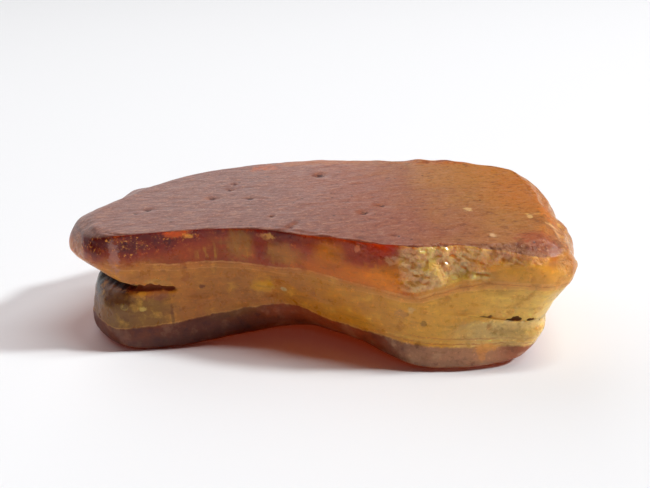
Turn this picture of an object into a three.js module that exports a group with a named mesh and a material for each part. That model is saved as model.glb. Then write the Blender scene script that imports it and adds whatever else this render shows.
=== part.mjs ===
// A pork stone: one natural slab of layered chalcedony, as long as a palm is wide.
// It has a flat top skin, a groove round its waist and a rounded lower lobe. It is one solid.
//
// The skin is a net of rings and columns. Every column runs from the middle of the top, over the
// rim, down the side and under the foot to the middle of the underside. STATIONS gives the side at
// places round the outline, and smooth curves join them both round the stone and down each column.
import * as THREE from 'three';

// Driving dimensions, in millimetres. Z is up, X runs along the stone and -Y is its front.
const TOP_HEIGHT = 19.6;
const TOP_CROWN = { x: 2, y: 4, alongX: 0.0002, alongY: 0.0008 };
const TOP_WAVE = { height: 0.12, alongX: 9, alongY: 7, phase: 0.6 };
const TOE_WIDTH = 2.6;

// Just under the rim the side turns down. There it has covered this share of the rim's inset.
const SHOULDER = { drop: 1.1, share: 0.4 };

// The underside stands hollow between the flats it rests on, and arches up behind the front waist.
const HOLLOW_HEIGHT = 1.0;
const REST_PRESS = 1.35;
const REST_FLATS = [
  { x: -26, y: -1, reach: 9 },
  { x: 19, y: -8, reach: 9 },
  { x: 24, y: 8, reach: 8 },
  { x: -3, y: 14, reach: 9 },
];
const ARCH = { height: 3.3, x: -3, reach: 11.5, backEdge: 2, depth: 12, power: 1.2 };

// Low lumps that run round the side, as two crossing sets of waves.
const LONG_LUMPS = { height: 0.22, alongX: 3.1, alongY: 4.3, alongZ: 3.3, lean: 7 };
const SHORT_LUMPS = { height: 0.12, alongX: 1.9, alongY: 2.3, alongZ: 1.7 };

// Swellings that stand out of the rim: a middle, a push and a reach.
const SWELLINGS = [
  { at: [17.0, 18.3, 18.9], push: [0.15, 0.5, 0.4], reach: 2.0 },
  { at: [21.4, 17.4, 18.8], push: [0.15, 0.4, 0.4], reach: 2.2 },
  { at: [24.6, 16.6, 18.6], push: [0.15, 0.4, 0.3], reach: 1.8 },
  { at: [-31.5, 11.5, 18.5], push: [-0.4, 0.8, 0.7], reach: 2.6 },
];

// Shell-shaped chips knocked off the front nose, the front left rim and the right end.
const CHIPS = [
  { at: [10.6, -17.4, 16.6], reach: 3.6, depth: 0.55 },
  { at: [14.6, -18.2, 18.2], reach: 2.6, depth: 0.6 },
  { at: [18.2, -18.4, 16.6], reach: 3.4, depth: 0.85 },
  { at: [22.6, -18.6, 15.2], reach: 3.4, depth: 0.7 },
  { at: [25.2, -18.8, 17.8], reach: 3.6, depth: 0.6 },
  { at: [30.4, -18.8, 15.6], reach: 3.8, depth: 0.8 },
  { at: [34.4, -12.0, 16.4], reach: 3.6, depth: 0.8 },
  { at: [34.6, -2.6, 16.6], reach: 4.2, depth: 0.7 },
  { at: [-22.0, -9.4, 16.4], reach: 3.2, depth: 0.3 },
  { at: [-28.6, -9.8, 16.8], reach: 3.0, depth: 0.35 },
];

// How finely the net is drawn.
const COLUMNS_PER_STATION = 5;
const TOP_RINGS = 7;
const UNDERSIDE_RINGS = 7;
const SIDE_STEPS = [
  [0, 0.5],
  [0, 0.5],
  [0, 0.25, 0.5, 0.75],
  [0, 0.2, 0.4, 0.6, 0.76, 0.88],
  [0, 0.12, 0.24, 0.4, 0.6, 0.8],
  [0, 0.25, 0.5, 0.75],
  [0, 0.33, 0.67],
];

// Each station: the widest point of the side (x, y and height), then the rim, the waist groove,
// the lower lobe and the foot, each as how far in it stands and how high. Then the width of the
// rounded edge of the top, and the crevice in the waist as its depth and half its height.
const STATIONS = [
  [-39.2, 0.2, 14.6, [2.4, 18.8], [3.0, 10.4], [2.4, 6.6], [2.2, 1.6], 2.0, [1.2, 0.9]],
  [-37.2, -5.8, 14.6, [2.2, 18.8], [3.6, 10.4], [2.0, 6.4], [1.6, 1.4], 1.7, [1.6, 0.9]],
  [-31.8, -9.8, 14.8, [1.0, 19.1], [2.4, 10.4], [0.9, 6.4], [0.9, 1.0], 1.0, [1.6, 0.55]],
  [-24.0, -9.6, 15.0, [0.6, 19.3], [1.2, 9.9], [0.3, 6.4], [-0.2, 0.8], 0.7, [0.35, 0.35]],
  [-16.0, -9.0, 15.0, [0.4, 19.3], [1.0, 9.8], [1.0, 6.4], [2.0, 1.3], 0.7, [0.0, 0.4]],
  [-8.0, -10.2, 15.0, [0.4, 19.3], [1.0, 9.8], [1.8, 6.6], [3.4, 2.3], 0.7, [0.0, 0.4]],
  [0.0, -13.6, 15.0, [0.5, 19.3], [0.9, 9.8], [2.0, 6.2], [4.1, 2.3], 0.7, [0.0, 0.4]],
  [6.5, -16.2, 14.8, [0.6, 19.3], [0.7, 9.6], [1.5, 5.8], [3.3, 2.0], 0.7, [0.0, 0.4]],
  [12.5, -18.2, 14.6, [0.9, 19.2], [0.4, 9.4], [0.5, 5.4], [0.2, 1.0], 0.9, [0.0, 0.4]],
  [19.0, -18.4, 14.6, [1.1, 19.2], [0.8, 8.6], [0.3, 5.2], [-0.7, 0.9], 1.2, [0.3, 0.4]],
  [25.6, -19.2, 14.2, [1.8, 18.7], [2.0, 7.9], [2.0, 5.0], [1.7, 1.1], 1.7, [0.6, 0.4]],
  [31.4, -19.2, 13.8, [2.4, 17.9], [3.2, 7.2], [2.8, 4.8], [4.5, 1.3], 2.3, [0.7, 0.4]],
  [35.0, -14.4, 13.4, [2.4, 18.0], [3.1, 6.8], [3.3, 4.8], [5.0, 1.4], 2.3, [0.4, 0.4]],
  [36.6, -4.0, 13.4, [2.2, 17.8], [3.2, 7.2], [3.2, 4.8], [5.1, 1.5], 1.9, [0.0, 0.5]],
  [35.6, 6.4, 13.8, [1.8, 18.5], [2.8, 8.0], [2.6, 5.2], [4.6, 1.5], 1.6, [0.0, 0.5]],
  [33.4, 13.2, 14.4, [1.6, 18.6], [2.6, 9.0], [2.2, 5.8], [4.2, 1.5], 1.4, [0.0, 0.5]],
  [26.0, 17.0, 14.8, [1.4, 18.6], [2.2, 9.8], [1.8, 6.0], [3.6, 1.4], 1.4, [0.0, 0.5]],
  [16.0, 20.0, 15.0, [1.5, 18.7], [2.0, 10.2], [1.4, 6.2], [3.2, 1.4], 1.4, [0.0, 0.5]],
  [5.0, 22.6, 15.2, [1.6, 18.8], [1.8, 10.4], [1.2, 6.4], [3.0, 1.4], 1.4, [0.0, 0.5]],
  [-6.0, 22.9, 15.2, [1.6, 18.8], [1.8, 10.6], [1.0, 6.6], [2.8, 1.4], 1.4, [0.0, 0.5]],
  [-17.0, 20.0, 15.2, [1.6, 18.7], [2.2, 10.8], [1.2, 6.8], [3.0, 1.4], 1.4, [0.0, 0.5]],
  [-27.0, 15.6, 15.2, [2.0, 18.5], [2.8, 11.0], [1.6, 7.0], [3.4, 1.5], 1.5, [0.3, 0.6]],
  [-35.0, 8.4, 14.8, [3.0, 18.5], [4.0, 10.6], [1.9, 7.0], [3.4, 1.6], 2.0, [0.9, 0.9]],
].map((row) => row.flat());

// A value on the smooth curve through b and c, with a and d as the neighbours that aim it.
function smooth(a, b, c, d, t) {
  const slope = c - a;
  const bend = 2 * a - 5 * b + 4 * c - d;
  const twist = -a + 3 * b - 3 * c + d;
  return b + 0.5 * t * (slope + t * (bend + t * twist));
}

// The side at a place round the outline, as the same list of numbers that a station holds.
function sideAt(place) {
  const count = STATIONS.length;
  const first = Math.floor(place);
  const around = [-1, 0, 1, 2].map((step) => STATIONS[(first + step + count) % count]);
  return STATIONS[0].map((_, i) => smooth(...around.map((s) => s[i]), place - first));
}

// Height of the top skin: a broad crown with one slow wave across it.
function topHeight(x, y) {
  const alongX = TOP_CROWN.alongX * (x - TOP_CROWN.x) ** 2;
  const alongY = TOP_CROWN.alongY * (y - TOP_CROWN.y) ** 2;
  const wave = Math.sin(x / TOP_WAVE.alongX + TOP_WAVE.phase) * Math.cos(y / TOP_WAVE.alongY);
  return TOP_HEIGHT - alongX - alongY + TOP_WAVE.height * wave;
}

// A round hill that is 1 at its middle and dies away over its reach.
function hill(distanceSquared, reach) {
  return Math.exp(-distanceSquared / reach ** 2);
}

// Height of the underside: hollow, arched in front, and cut flat at 0 where it rests.
function undersideHeight(x, y) {
  const inArch = Math.min(Math.max((ARCH.backEdge - y) / ARCH.depth, 0), 1) ** ARCH.power;
  const arch = ARCH.height * hill((x - ARCH.x) ** 2, ARCH.reach) * inArch;
  const pressed = REST_FLATS.map((flat) => hill((x - flat.x) ** 2 + (y - flat.y) ** 2, flat.reach));
  const hollow = HOLLOW_HEIGHT - REST_PRESS * pressed.reduce((sum, h) => sum + h, 0);
  return Math.max(0, arch + hollow);
}

// How far the lumps push the side out at a point.
function lumps(x, y, z) {
  const long = Math.sin(x / LONG_LUMPS.alongX + y / LONG_LUMPS.alongY);
  const tall = Math.cos(z / LONG_LUMPS.alongZ - x / LONG_LUMPS.lean);
  const short = Math.sin(x / SHORT_LUMPS.alongX - y / SHORT_LUMPS.alongY + z / SHORT_LUMPS.alongZ);
  return LONG_LUMPS.height * long * tall + SHORT_LUMPS.height * short;
}

// How far the deepest chip cuts in at a point. Each chip is a shallow bowl with a sharp edge.
function chipDepth(point) {
  const cuts = CHIPS.map((chip) => {
    const distance = point.distanceTo(new THREE.Vector3(...chip.at));
    return chip.depth * (1 - (distance / chip.reach) ** 2);
  });
  return Math.max(0, ...cuts);
}

// One column of points, from the first ring of the top to the last ring of the underside.
function columnAt(place) {
  const [x, y, widestZ, ...rings] = sideAt(place);
  const [rimIn, rimZ, waistIn, waistZ, lobeIn, lobeZ, footIn, footZ, edge, cut, gap] = rings;
  const reach = Math.hypot(x, y);
  const outward = new THREE.Vector3(x / reach, y / reach, 0);
  const topAt = (r) => topHeight(outward.x * r, outward.y * r);
  const underAt = (r) => undersideHeight(outward.x * r, outward.y * r);
  const topEdge = reach - rimIn - edge;
  const toe = reach - footIn - TOE_WIDTH;
  const guides = [
    [topEdge - edge, topAt(topEdge - edge)],
    [topEdge, topAt(topEdge)],
    [reach - rimIn, rimZ],
    [reach - rimIn * SHOULDER.share, rimZ - SHOULDER.drop],
    [reach, widestZ],
    [reach - waistIn, waistZ],
    [reach - lobeIn, lobeZ],
    [reach - footIn, footZ],
    [toe, underAt(toe)],
    [toe - TOE_WIDTH, underAt(toe - TOE_WIDTH)],
  ];
  const column = [];
  for (let ring = 1; ring < TOP_RINGS; ring += 1) {
    const r = (topEdge * ring) / TOP_RINGS;
    column.push(outward.clone().multiplyScalar(r).setZ(topAt(r)));
  }
  SIDE_STEPS.forEach((steps, part) => {
    const four = guides.slice(part, part + 4);
    steps.forEach((t) => {
      const fade = Math.min(part + t, SIDE_STEPS.length - part - t, 1);
      const z = smooth(...four.map((g) => g[1]), t);
      const crevice = Math.max(0, cut) * hill((z - waistZ) ** 2, gap);
      const r = smooth(...four.map((g) => g[0]), t) - crevice;
      const point = outward.clone().multiplyScalar(r).setZ(z);
      const lump = fade * lumps(point.x, point.y, z);
      column.push(point.addScaledVector(outward, lump - chipDepth(point)));
    });
  });
  for (let ring = UNDERSIDE_RINGS; ring > 0; ring -= 1) {
    const r = (toe * ring) / UNDERSIDE_RINGS;
    column.push(outward.clone().multiplyScalar(r).setZ(underAt(r)));
  }
  return column;
}

// Moves a point outward by every swelling that reaches it.
function swell(point) {
  const moved = point.clone();
  SWELLINGS.forEach(({ at, push, reach }) => {
    const share = hill(point.distanceToSquared(new THREE.Vector3(...at)), reach);
    moved.addScaledVector(new THREE.Vector3(...push), share);
  });
  return moved;
}

// Joins the columns into one closed net, with a point at the middle of the top and of the underside.
function closedNet(columns) {
  const rings = columns[0].length;
  const count = columns.length;
  const points = [new THREE.Vector3(0, 0, topHeight(0, 0)), ...columns.flat().map(swell)];
  points.push(new THREE.Vector3(0, 0, undersideHeight(0, 0)));
  const last = points.length - 1;
  const at = (column, ring) => 1 + (column % count) * rings + ring;
  const faces = [];
  for (let column = 0; column < count; column += 1) {
    faces.push(0, at(column, 0), at(column + 1, 0));
    for (let ring = 0; ring < rings - 1; ring += 1) {
      const here = at(column, ring);
      const below = at(column, ring + 1);
      const beside = at(column + 1, ring);
      const across = at(column + 1, ring + 1);
      faces.push(here, below, across, here, across, beside);
    }
    faces.push(at(column, rings - 1), last, at(column + 1, rings - 1));
  }
  const geometry = new THREE.BufferGeometry().setFromPoints(points);
  geometry.setIndex(faces);
  return geometry;
}

const columnCount = STATIONS.length * COLUMNS_PER_STATION;
const columns = Array.from({ length: columnCount }, (_, i) => columnAt(i / COLUMNS_PER_STATION));
const geometry = closedNet(columns);

// The origin is the middle of the outline's box, on the ground.
geometry.computeBoundingBox();
const middle = geometry.boundingBox.getCenter(new THREE.Vector3());
geometry.translate(-middle.x, -middle.y, -geometry.boundingBox.min.z);
geometry.computeVertexNormals();

const waxyAmber = new THREE.MeshStandardMaterial({ color: 0x9c6a3c, roughness: 0.38, metalness: 0 });
const stone = new THREE.Mesh(geometry, waxyAmber);
stone.name = 'pork_stone';

const part = new THREE.Group();
part.name = 'pork_stone';
part.add(stone);

export default part;
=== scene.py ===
"""A pork stone on a pale floor: one natural slab of layered, waxy chalcedony.

The stone is one closed skin on a net of rings and columns. Every column runs from the middle of the
top over the rim, down the side and under the foot to the middle of the underside. Lengths are in
millimetres until a mesh is made, and Blender's are metres.
"""
import logging
from dataclasses import dataclass, field
from enum import Enum
from functools import reduce
from typing import Any, Callable, Mapping, Sequence

import bpy
import numpy as np
from mathutils import Matrix


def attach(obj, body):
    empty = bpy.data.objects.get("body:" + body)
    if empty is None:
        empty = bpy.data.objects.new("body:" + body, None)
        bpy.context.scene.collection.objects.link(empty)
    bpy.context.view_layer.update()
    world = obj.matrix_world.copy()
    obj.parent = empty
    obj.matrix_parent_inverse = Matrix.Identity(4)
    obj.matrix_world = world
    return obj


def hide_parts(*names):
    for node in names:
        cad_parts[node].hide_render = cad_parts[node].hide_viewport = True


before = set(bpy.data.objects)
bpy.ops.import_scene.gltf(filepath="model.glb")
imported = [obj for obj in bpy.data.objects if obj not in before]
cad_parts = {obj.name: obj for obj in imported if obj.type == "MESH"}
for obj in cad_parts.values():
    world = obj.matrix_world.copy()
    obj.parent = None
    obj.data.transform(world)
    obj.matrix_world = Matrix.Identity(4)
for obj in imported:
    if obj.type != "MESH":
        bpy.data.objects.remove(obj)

LOG = logging.getLogger("pork_stone")
METRES = 0.001
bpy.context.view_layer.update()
Point = tuple[float, float, float]
Screen = tuple[int, int, int]
Colour = tuple[float, float, float, float]
Paint = bpy.types.NodeSocket | Colour


def smooth(a: np.ndarray, b: np.ndarray, c: np.ndarray, d: np.ndarray, t: np.ndarray) -> np.ndarray:
    """Gives the smooth curve through b and c, aimed by its neighbours a and d, at t from 0 to 1.

    The formula is the uniform Catmull-Rom cubic: b plus half of t times the slope, bend and twist.

    Args:
        a: the value before b.
        b: the value at t = 0.
        c: the value at t = 1.
        d: the value after c.
        t: how far from b to c.

    Returns:
        The curve's values, broadcast over all five.
    """
    slope = c - a
    bend = 2 * a - 5 * b + 4 * c - d
    twist = -a + 3 * b - 3 * c + d
    return b + 0.5 * t * (slope + t * (bend + t * twist))


def hill(distance_squared: np.ndarray, reach: float | np.ndarray) -> np.ndarray:
    """Gives a round hill, 1 at its middle: e to the minus distance squared over reach squared."""
    return np.exp(-distance_squared / np.square(reach))


def ease(value: np.ndarray, low: float, high: float) -> np.ndarray:
    """Rises from 0 at low to 1 at high as 3 t squared minus 2 t cubed; high below low falls instead."""
    t = np.clip((value - low) / (high - low), 0, 1)
    return t * t * (3 - 2 * t)


@dataclass(frozen=True)
class Grain:
    """Smooth noise of random values at the corners of a lattice of cubes.

    Attributes:
        cell: side of the largest cubes, in mm.
        seed: which set of random values.
        octaves: how many finer copies are added, each half as large and half as strong.
    """

    cell: float
    seed: int
    octaves: int = 3

    def corner(self, x: np.ndarray, y: np.ndarray, z: np.ndarray, salt: int) -> np.ndarray:
        """Gives the lattice's random value from -1 to 1 at whole-numbered corners, by mixing their bits.

        Args:
            x: whole numbers along x.
            y: whole numbers along y.
            z: whole numbers along z.
            salt: which lattice.

        Returns:
            The value at each corner.
        """
        mixed = x * 374761393 + y * 668265263 + z * 1440662683 + salt * 974634777
        mixed = (mixed ^ (mixed >> 13)) & 0xFFFFFFFF
        mixed = (mixed * 1274126177) & 0xFFFFFFFF
        return ((mixed ^ (mixed >> 16)) & 0xFFFFFF) / float(0x7FFFFF) - 1

    def layer(self, points: np.ndarray, salt: int) -> np.ndarray:
        """Blends the eight corners round each point by eased distances along the three axes.

        Args:
            points: places, in cells.
            salt: which lattice.

        Returns:
            One octave of noise at each place.
        """
        low = np.floor(points).astype(np.int64)
        t = points - low
        t = t * t * (3 - 2 * t)
        x, y, z = low[..., 0], low[..., 1], low[..., 2]
        edges = []
        for dx, dy in ((0, 0), (1, 0), (0, 1), (1, 1)):
            near = self.corner(x + dx, y + dy, z, salt)
            far = self.corner(x + dx, y + dy, z + 1, salt)
            edges.append(near + (far - near) * t[..., 2])
        front = edges[0] + (edges[1] - edges[0]) * t[..., 0]
        back = edges[2] + (edges[3] - edges[2]) * t[..., 0]
        return front + (back - front) * t[..., 1]

    def at(self, points: np.ndarray) -> np.ndarray:
        """Adds the octaves and divides by their summed strength, so the noise stays within -1 and 1.

        Args:
            points: places, in mm.

        Returns:
            The noise at each place.
        """
        total = sum(
            self.layer(points * (2**octave / self.cell), self.seed * 17 + octave) / 2**octave
            for octave in range(self.octaves)
        )
        return total / (2 - 2.0 ** (1 - self.octaves))


@dataclass(frozen=True)
class Roughness:
    """A noise that raises and lowers the surface.

    Attributes:
        grain: the noise.
        height: how far it moves the surface, in mm.
        squeeze: how much closer it lies along x, y and z.
    """

    grain: Grain
    height: float
    squeeze: Point = (1, 1, 1)

    def at(self, points: np.ndarray) -> np.ndarray:
        """Gives the height times the noise of the squeezed place."""
        return self.height * self.grain.at(points * np.array(self.squeeze))

    def ridged(self, points: np.ndarray) -> np.ndarray:
        """Gives sharp crests where the noise is 0: the height less 2.4 times the size of the noise."""
        return self.height - 2.4 * np.abs(self.at(points))


class Line(Enum):
    """The heights that each station gives: where one layer of the stone meets the next."""

    PALE = 0
    BASE = 1
    SKIN = 2


# Each station: the widest point of the side (x, y and height); the rim, waist, lower lobe and foot,
# each as how far in and how high; the rounded edge of the top; the crevice's depth and half its
# height; then the heights of the pale line, the base line and the lower edge of the dark skin.
STATIONS = np.array([
    (-39.2, 0.2, 14.6, 2.4, 18.8, 3.0, 10.4, 2.4, 6.6, 2.2, 1.6, 2.0, 1.2, 0.9, 14.8, 3.6, 16.0),
    (-37.2, -5.8, 14.6, 2.2, 18.8, 3.6, 10.4, 2.0, 6.4, 1.6, 1.4, 1.7, 1.6, 0.9, 14.8, 3.7, 16.0),
    (-31.8, -9.8, 14.8, 1.0, 19.1, 2.4, 10.4, 0.9, 6.4, 0.9, 1.0, 1.0, 1.6, 0.55, 14.7, 3.9, 16.0),
    (-24.0, -9.6, 15.0, 0.6, 19.3, 1.2, 9.9, 0.3, 6.4, -0.2, 0.8, 0.7, 0.35, 0.35, 14.3, 4.5, 16.6),
    (-16.0, -9.0, 15.0, 0.4, 19.3, 1.0, 9.8, 1.0, 6.4, 2.0, 1.3, 0.7, 0.0, 0.4, 13.9, 5.4, 17.8),
    (-8.0, -10.2, 15.0, 0.4, 19.3, 1.0, 9.8, 1.8, 6.6, 3.4, 2.3, 0.7, 0.0, 0.4, 13.5, 6.7, 17.4),
    (0.0, -13.6, 15.0, 0.5, 19.3, 0.9, 9.8, 2.0, 6.2, 4.1, 2.3, 0.7, 0.0, 0.4, 13.4, 5.3, 17.0),
    (6.5, -16.2, 14.8, 0.6, 19.3, 0.7, 9.6, 1.5, 5.8, 3.3, 2.0, 0.7, 0.0, 0.4, 12.4, 4.5, 15.8),
    (12.5, -18.2, 14.6, 0.9, 19.2, 0.4, 9.4, 0.5, 5.4, 0.2, 1.0, 0.9, 0.0, 0.4, 11.9, 4.1, 17.6),
    (19.0, -18.4, 14.6, 1.1, 19.2, 0.8, 8.6, 0.3, 5.2, -0.7, 0.9, 1.2, 0.3, 0.4, 13.5, 3.7, 18.8),
    (25.6, -19.2, 14.2, 1.8, 18.7, 2.0, 7.9, 2.0, 5.0, 1.7, 1.1, 1.7, 0.6, 0.4, 13.9, 3.5, 18.4),
    (31.4, -19.2, 13.8, 2.4, 17.9, 3.2, 7.2, 2.8, 4.8, 4.5, 1.3, 2.3, 0.7, 0.4, 13.4, 3.2, 17.4),
    (35.0, -14.4, 13.4, 2.4, 18.0, 3.1, 6.8, 3.3, 4.8, 5.0, 1.4, 2.3, 0.4, 0.4, 13.0, 3.1, 17.2),
    (36.6, -4.0, 13.4, 2.2, 17.8, 3.2, 7.2, 3.2, 4.8, 5.1, 1.5, 1.9, 0.0, 0.5, 13.0, 3.1, 17.2),
    (35.6, 6.4, 13.8, 1.8, 18.5, 2.8, 8.0, 2.6, 5.2, 4.6, 1.5, 1.6, 0.0, 0.5, 13.2, 3.4, 17.0),
    (33.4, 13.2, 14.4, 1.6, 18.6, 2.6, 9.0, 2.2, 5.8, 4.2, 1.5, 1.4, 0.0, 0.5, 13.4, 3.6, 17.0),
    (26.0, 17.0, 14.8, 1.4, 18.6, 2.2, 9.8, 1.8, 6.0, 3.6, 1.4, 1.4, 0.0, 0.5, 13.4, 3.6, 17.0),
    (16.0, 20.0, 15.0, 1.5, 18.7, 2.0, 10.2, 1.4, 6.2, 3.2, 1.4, 1.4, 0.0, 0.5, 13.6, 3.8, 17.0),
    (5.0, 22.6, 15.2, 1.6, 18.8, 1.8, 10.4, 1.2, 6.4, 3.0, 1.4, 1.4, 0.0, 0.5, 13.8, 4.0, 17.2),
    (-6.0, 22.9, 15.2, 1.6, 18.8, 1.8, 10.6, 1.0, 6.6, 2.8, 1.4, 1.4, 0.0, 0.5, 13.8, 4.0, 17.2),
    (-17.0, 20.0, 15.2, 1.6, 18.7, 2.2, 10.8, 1.2, 6.8, 3.0, 1.4, 1.4, 0.0, 0.5, 13.9, 3.8, 17.0),
    (-27.0, 15.6, 15.2, 2.0, 18.5, 2.8, 11.0, 1.6, 7.0, 3.4, 1.5, 1.5, 0.3, 0.6, 14.0, 3.6, 16.6),
    (-35.0, 8.4, 14.8, 3.0, 18.5, 4.0, 10.6, 1.9, 7.0, 3.4, 1.6, 2.0, 0.9, 0.9, 14.4, 3.5, 16.2),
])
FIRST_LINE = 14


@dataclass(frozen=True)
class Chip:
    """A shell-shaped bowl knocked out of the side. All lengths are in mm.

    Attributes:
        at: its middle.
        reach: how far it reaches from there.
        depth: how deep it is.
    """

    at: Point
    reach: float
    depth: float


@dataclass(frozen=True)
class Swelling:
    """A low lump on the rim. All lengths are in mm.

    Attributes:
        at: its middle.
        push: how far it moves the skin along x, y and z.
        reach: how far it reaches.
    """

    at: Point
    push: Point
    reach: float


def nothing() -> np.ndarray:
    """Gives a field that is 0 everywhere."""
    return np.zeros(1)


@dataclass
class Net:
    """The stone's skin as arrays of rings by columns.

    Attributes:
        points: x, y and z of every crossing, in mm.
        lines: heights of the pale line, base line and dark skin's edge, one row each, by column.
        top: 1 on the top skin, falling to 0 over the rim.
        side: 1 on the side, 0 on the top and the underside.
        chipped: how freshly broken the surface is.
        cleft: how deep inside the crevice or the crack.
        crest: how far the broken surface's own ridges stand out, in mm.
        flat: 1 on the small glassy faces of the nose.
    """

    points: np.ndarray
    lines: np.ndarray
    top: np.ndarray
    side: np.ndarray
    chipped: np.ndarray = field(default_factory=nothing)
    cleft: np.ndarray = field(default_factory=nothing)
    crest: np.ndarray = field(default_factory=nothing)
    flat: np.ndarray = field(default_factory=nothing)


@dataclass(frozen=True)
class Form:
    """The stone's large shape, the same one that the solid has. All lengths are in mm.

    Attributes:
        top_height: height of the top's crown.
        crown: the crown's middle in plan, and its fall along and across per mm squared.
        top_wave: the top's slow wave: its height, its lengths along and across, and its phase.
        toe_width: how far the foot is rounded before the underside starts.
        shoulder_drop: how far the shoulder lies under the rim.
        shoulder_share: the shoulder's distance in, as a share of the rim's.
        hollow: height of the hollow underside.
        rest_press: how far the worn flats push the hollow down.
        rest_flats: the flats, each by its middle in plan and its reach.
        arch: the arch's height, middle and reach along the stone, its back, its depth and its power.
        long_lumps: the long wave of the side: its height, its lengths along x, y and z, and its lean.
        short_lumps: the short slanting wave: its height and its lengths along x, y and z.
        coarse_steps: where the solid's rings lie in each part of the side.
        coarse_columns: the solid's columns from one station to the next.
        coarse_rings: the solid's rings on the top and on the underside.
        swellings: lumps on the rim.
        chips: large bowls knocked out of the side.
    """

    top_height: float = 19.6
    crown: tuple[float, float, float, float] = (2, 4, 0.0002, 0.0008)
    top_wave: tuple[float, float, float, float] = (0.12, 9, 7, 0.6)
    toe_width: float = 2.6
    shoulder_drop: float = 1.1
    shoulder_share: float = 0.4
    hollow: float = 1.0
    rest_press: float = 1.35
    rest_flats: tuple[Point, ...] = ((-26, -1, 9), (19, -8, 9), (24, 8, 8), (-3, 14, 9))
    arch: tuple[float, ...] = (3.3, -3, 11.5, 2, 12, 1.2)
    long_lumps: tuple[float, ...] = (0.22, 3.1, 4.3, 3.3, 7)
    short_lumps: tuple[float, ...] = (0.12, 1.9, 2.3, 1.7)
    coarse_steps: tuple[tuple[float, ...], ...] = (
        (0, 0.5),
        (0, 0.5),
        (0, 0.25, 0.5, 0.75),
        (0, 0.2, 0.4, 0.6, 0.76, 0.88),
        (0, 0.12, 0.24, 0.4, 0.6, 0.8),
        (0, 0.25, 0.5, 0.75),
        (0, 0.33, 0.67),
    )
    coarse_columns: int = 5
    coarse_rings: tuple[int, int] = (7, 7)
    swellings: tuple[Swelling, ...] = (
        Swelling((17.0, 18.3, 18.9), (0.15, 0.5, 0.4), 2.0),
        Swelling((21.4, 17.4, 18.8), (0.15, 0.4, 0.4), 2.2),
        Swelling((24.6, 16.6, 18.6), (0.15, 0.4, 0.3), 1.8),
        Swelling((-31.5, 11.5, 18.5), (-0.4, 0.8, 0.7), 2.6),
    )
    chips: tuple[Chip, ...] = (
        Chip((10.6, -17.4, 16.6), 3.6, 0.55),
        Chip((14.6, -18.2, 18.2), 2.6, 0.6),
        Chip((18.2, -18.4, 16.6), 3.4, 0.85),
        Chip((22.6, -18.6, 15.2), 3.4, 0.7),
        Chip((25.2, -18.8, 17.8), 3.6, 0.6),
        Chip((30.4, -18.8, 15.6), 3.8, 0.8),
        Chip((34.4, -12.0, 16.4), 3.6, 0.8),
        Chip((34.6, -2.6, 16.6), 4.2, 0.7),
        Chip((-22.0, -9.4, 16.4), 3.2, 0.3),
        Chip((-28.6, -9.8, 16.8), 3.0, 0.35),
    )

    def sides(self, places: np.ndarray) -> np.ndarray:
        """Reads the stations at places round the outline, joined by closed smooth curves.

        Args:
            places: station numbers and the fractions between them.

        Returns:
            One row of station values per place.
        """
        first = np.floor(places).astype(int)
        four = [STATIONS[(first + step) % len(STATIONS)] for step in (-1, 0, 1, 2)]
        return smooth(*four, (places - first)[:, None])

    def top_at(self, x: np.ndarray, y: np.ndarray) -> np.ndarray:
        """Height of the top: a crown that falls with distance squared, and one slow sine wave.

        Args:
            x: how far along the stone.
            y: how far back.

        Returns:
            The height at each place.
        """
        middle_x, middle_y, along_x, along_y = self.crown
        height, wave_x, wave_y, phase = self.top_wave
        fall = along_x * (x - middle_x) ** 2 + along_y * (y - middle_y) ** 2
        return self.top_height - fall + height * np.sin(x / wave_x + phase) * np.cos(y / wave_y)

    def underside_at(self, x: np.ndarray, y: np.ndarray) -> np.ndarray:
        """Height of the underside: the arch's hill plus the hollow less the flats' hills, never below 0.

        Args:
            x: how far along the stone.
            y: how far back.

        Returns:
            The height at each place.
        """
        height, middle, reach, back, depth, power = self.arch
        arch = height * hill((x - middle) ** 2, reach) * np.clip((back - y) / depth, 0, 1) ** power
        flats = sum(hill((x - fx) ** 2 + (y - fy) ** 2, r) for fx, fy, r in self.rest_flats)
        return np.maximum(0, arch + self.hollow - self.rest_press * flats)

    def lumps(self, x: np.ndarray, y: np.ndarray, z: np.ndarray) -> np.ndarray:
        """How far the lumps push the side out: a long wave times a tall one, plus a short slanting wave.

        Args:
            x: how far along the stone.
            y: how far back.
            z: how far up.

        Returns:
            The push at each place, in mm.
        """
        height, along_x, along_y, along_z, lean = self.long_lumps
        low, short_x, short_y, short_z = self.short_lumps
        long = np.sin(x / along_x + y / along_y) * np.cos(z / along_z - x / lean)
        return height * long + low * np.sin(x / short_x - y / short_y + z / short_z)

    def chip_depth(self, points: np.ndarray) -> np.ndarray:
        """Depth of the deepest bowl at each point: depth times 1 minus (distance over reach) squared.

        Args:
            points: places on the stone.

        Returns:
            The depth at each place, in mm.
        """
        deepest = np.zeros(points.shape[:-1])
        for chip in self.chips:
            squared = ((points - chip.at) ** 2).sum(-1)
            deepest = np.maximum(deepest, chip.depth * (1 - squared / chip.reach**2))
        return deepest

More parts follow.
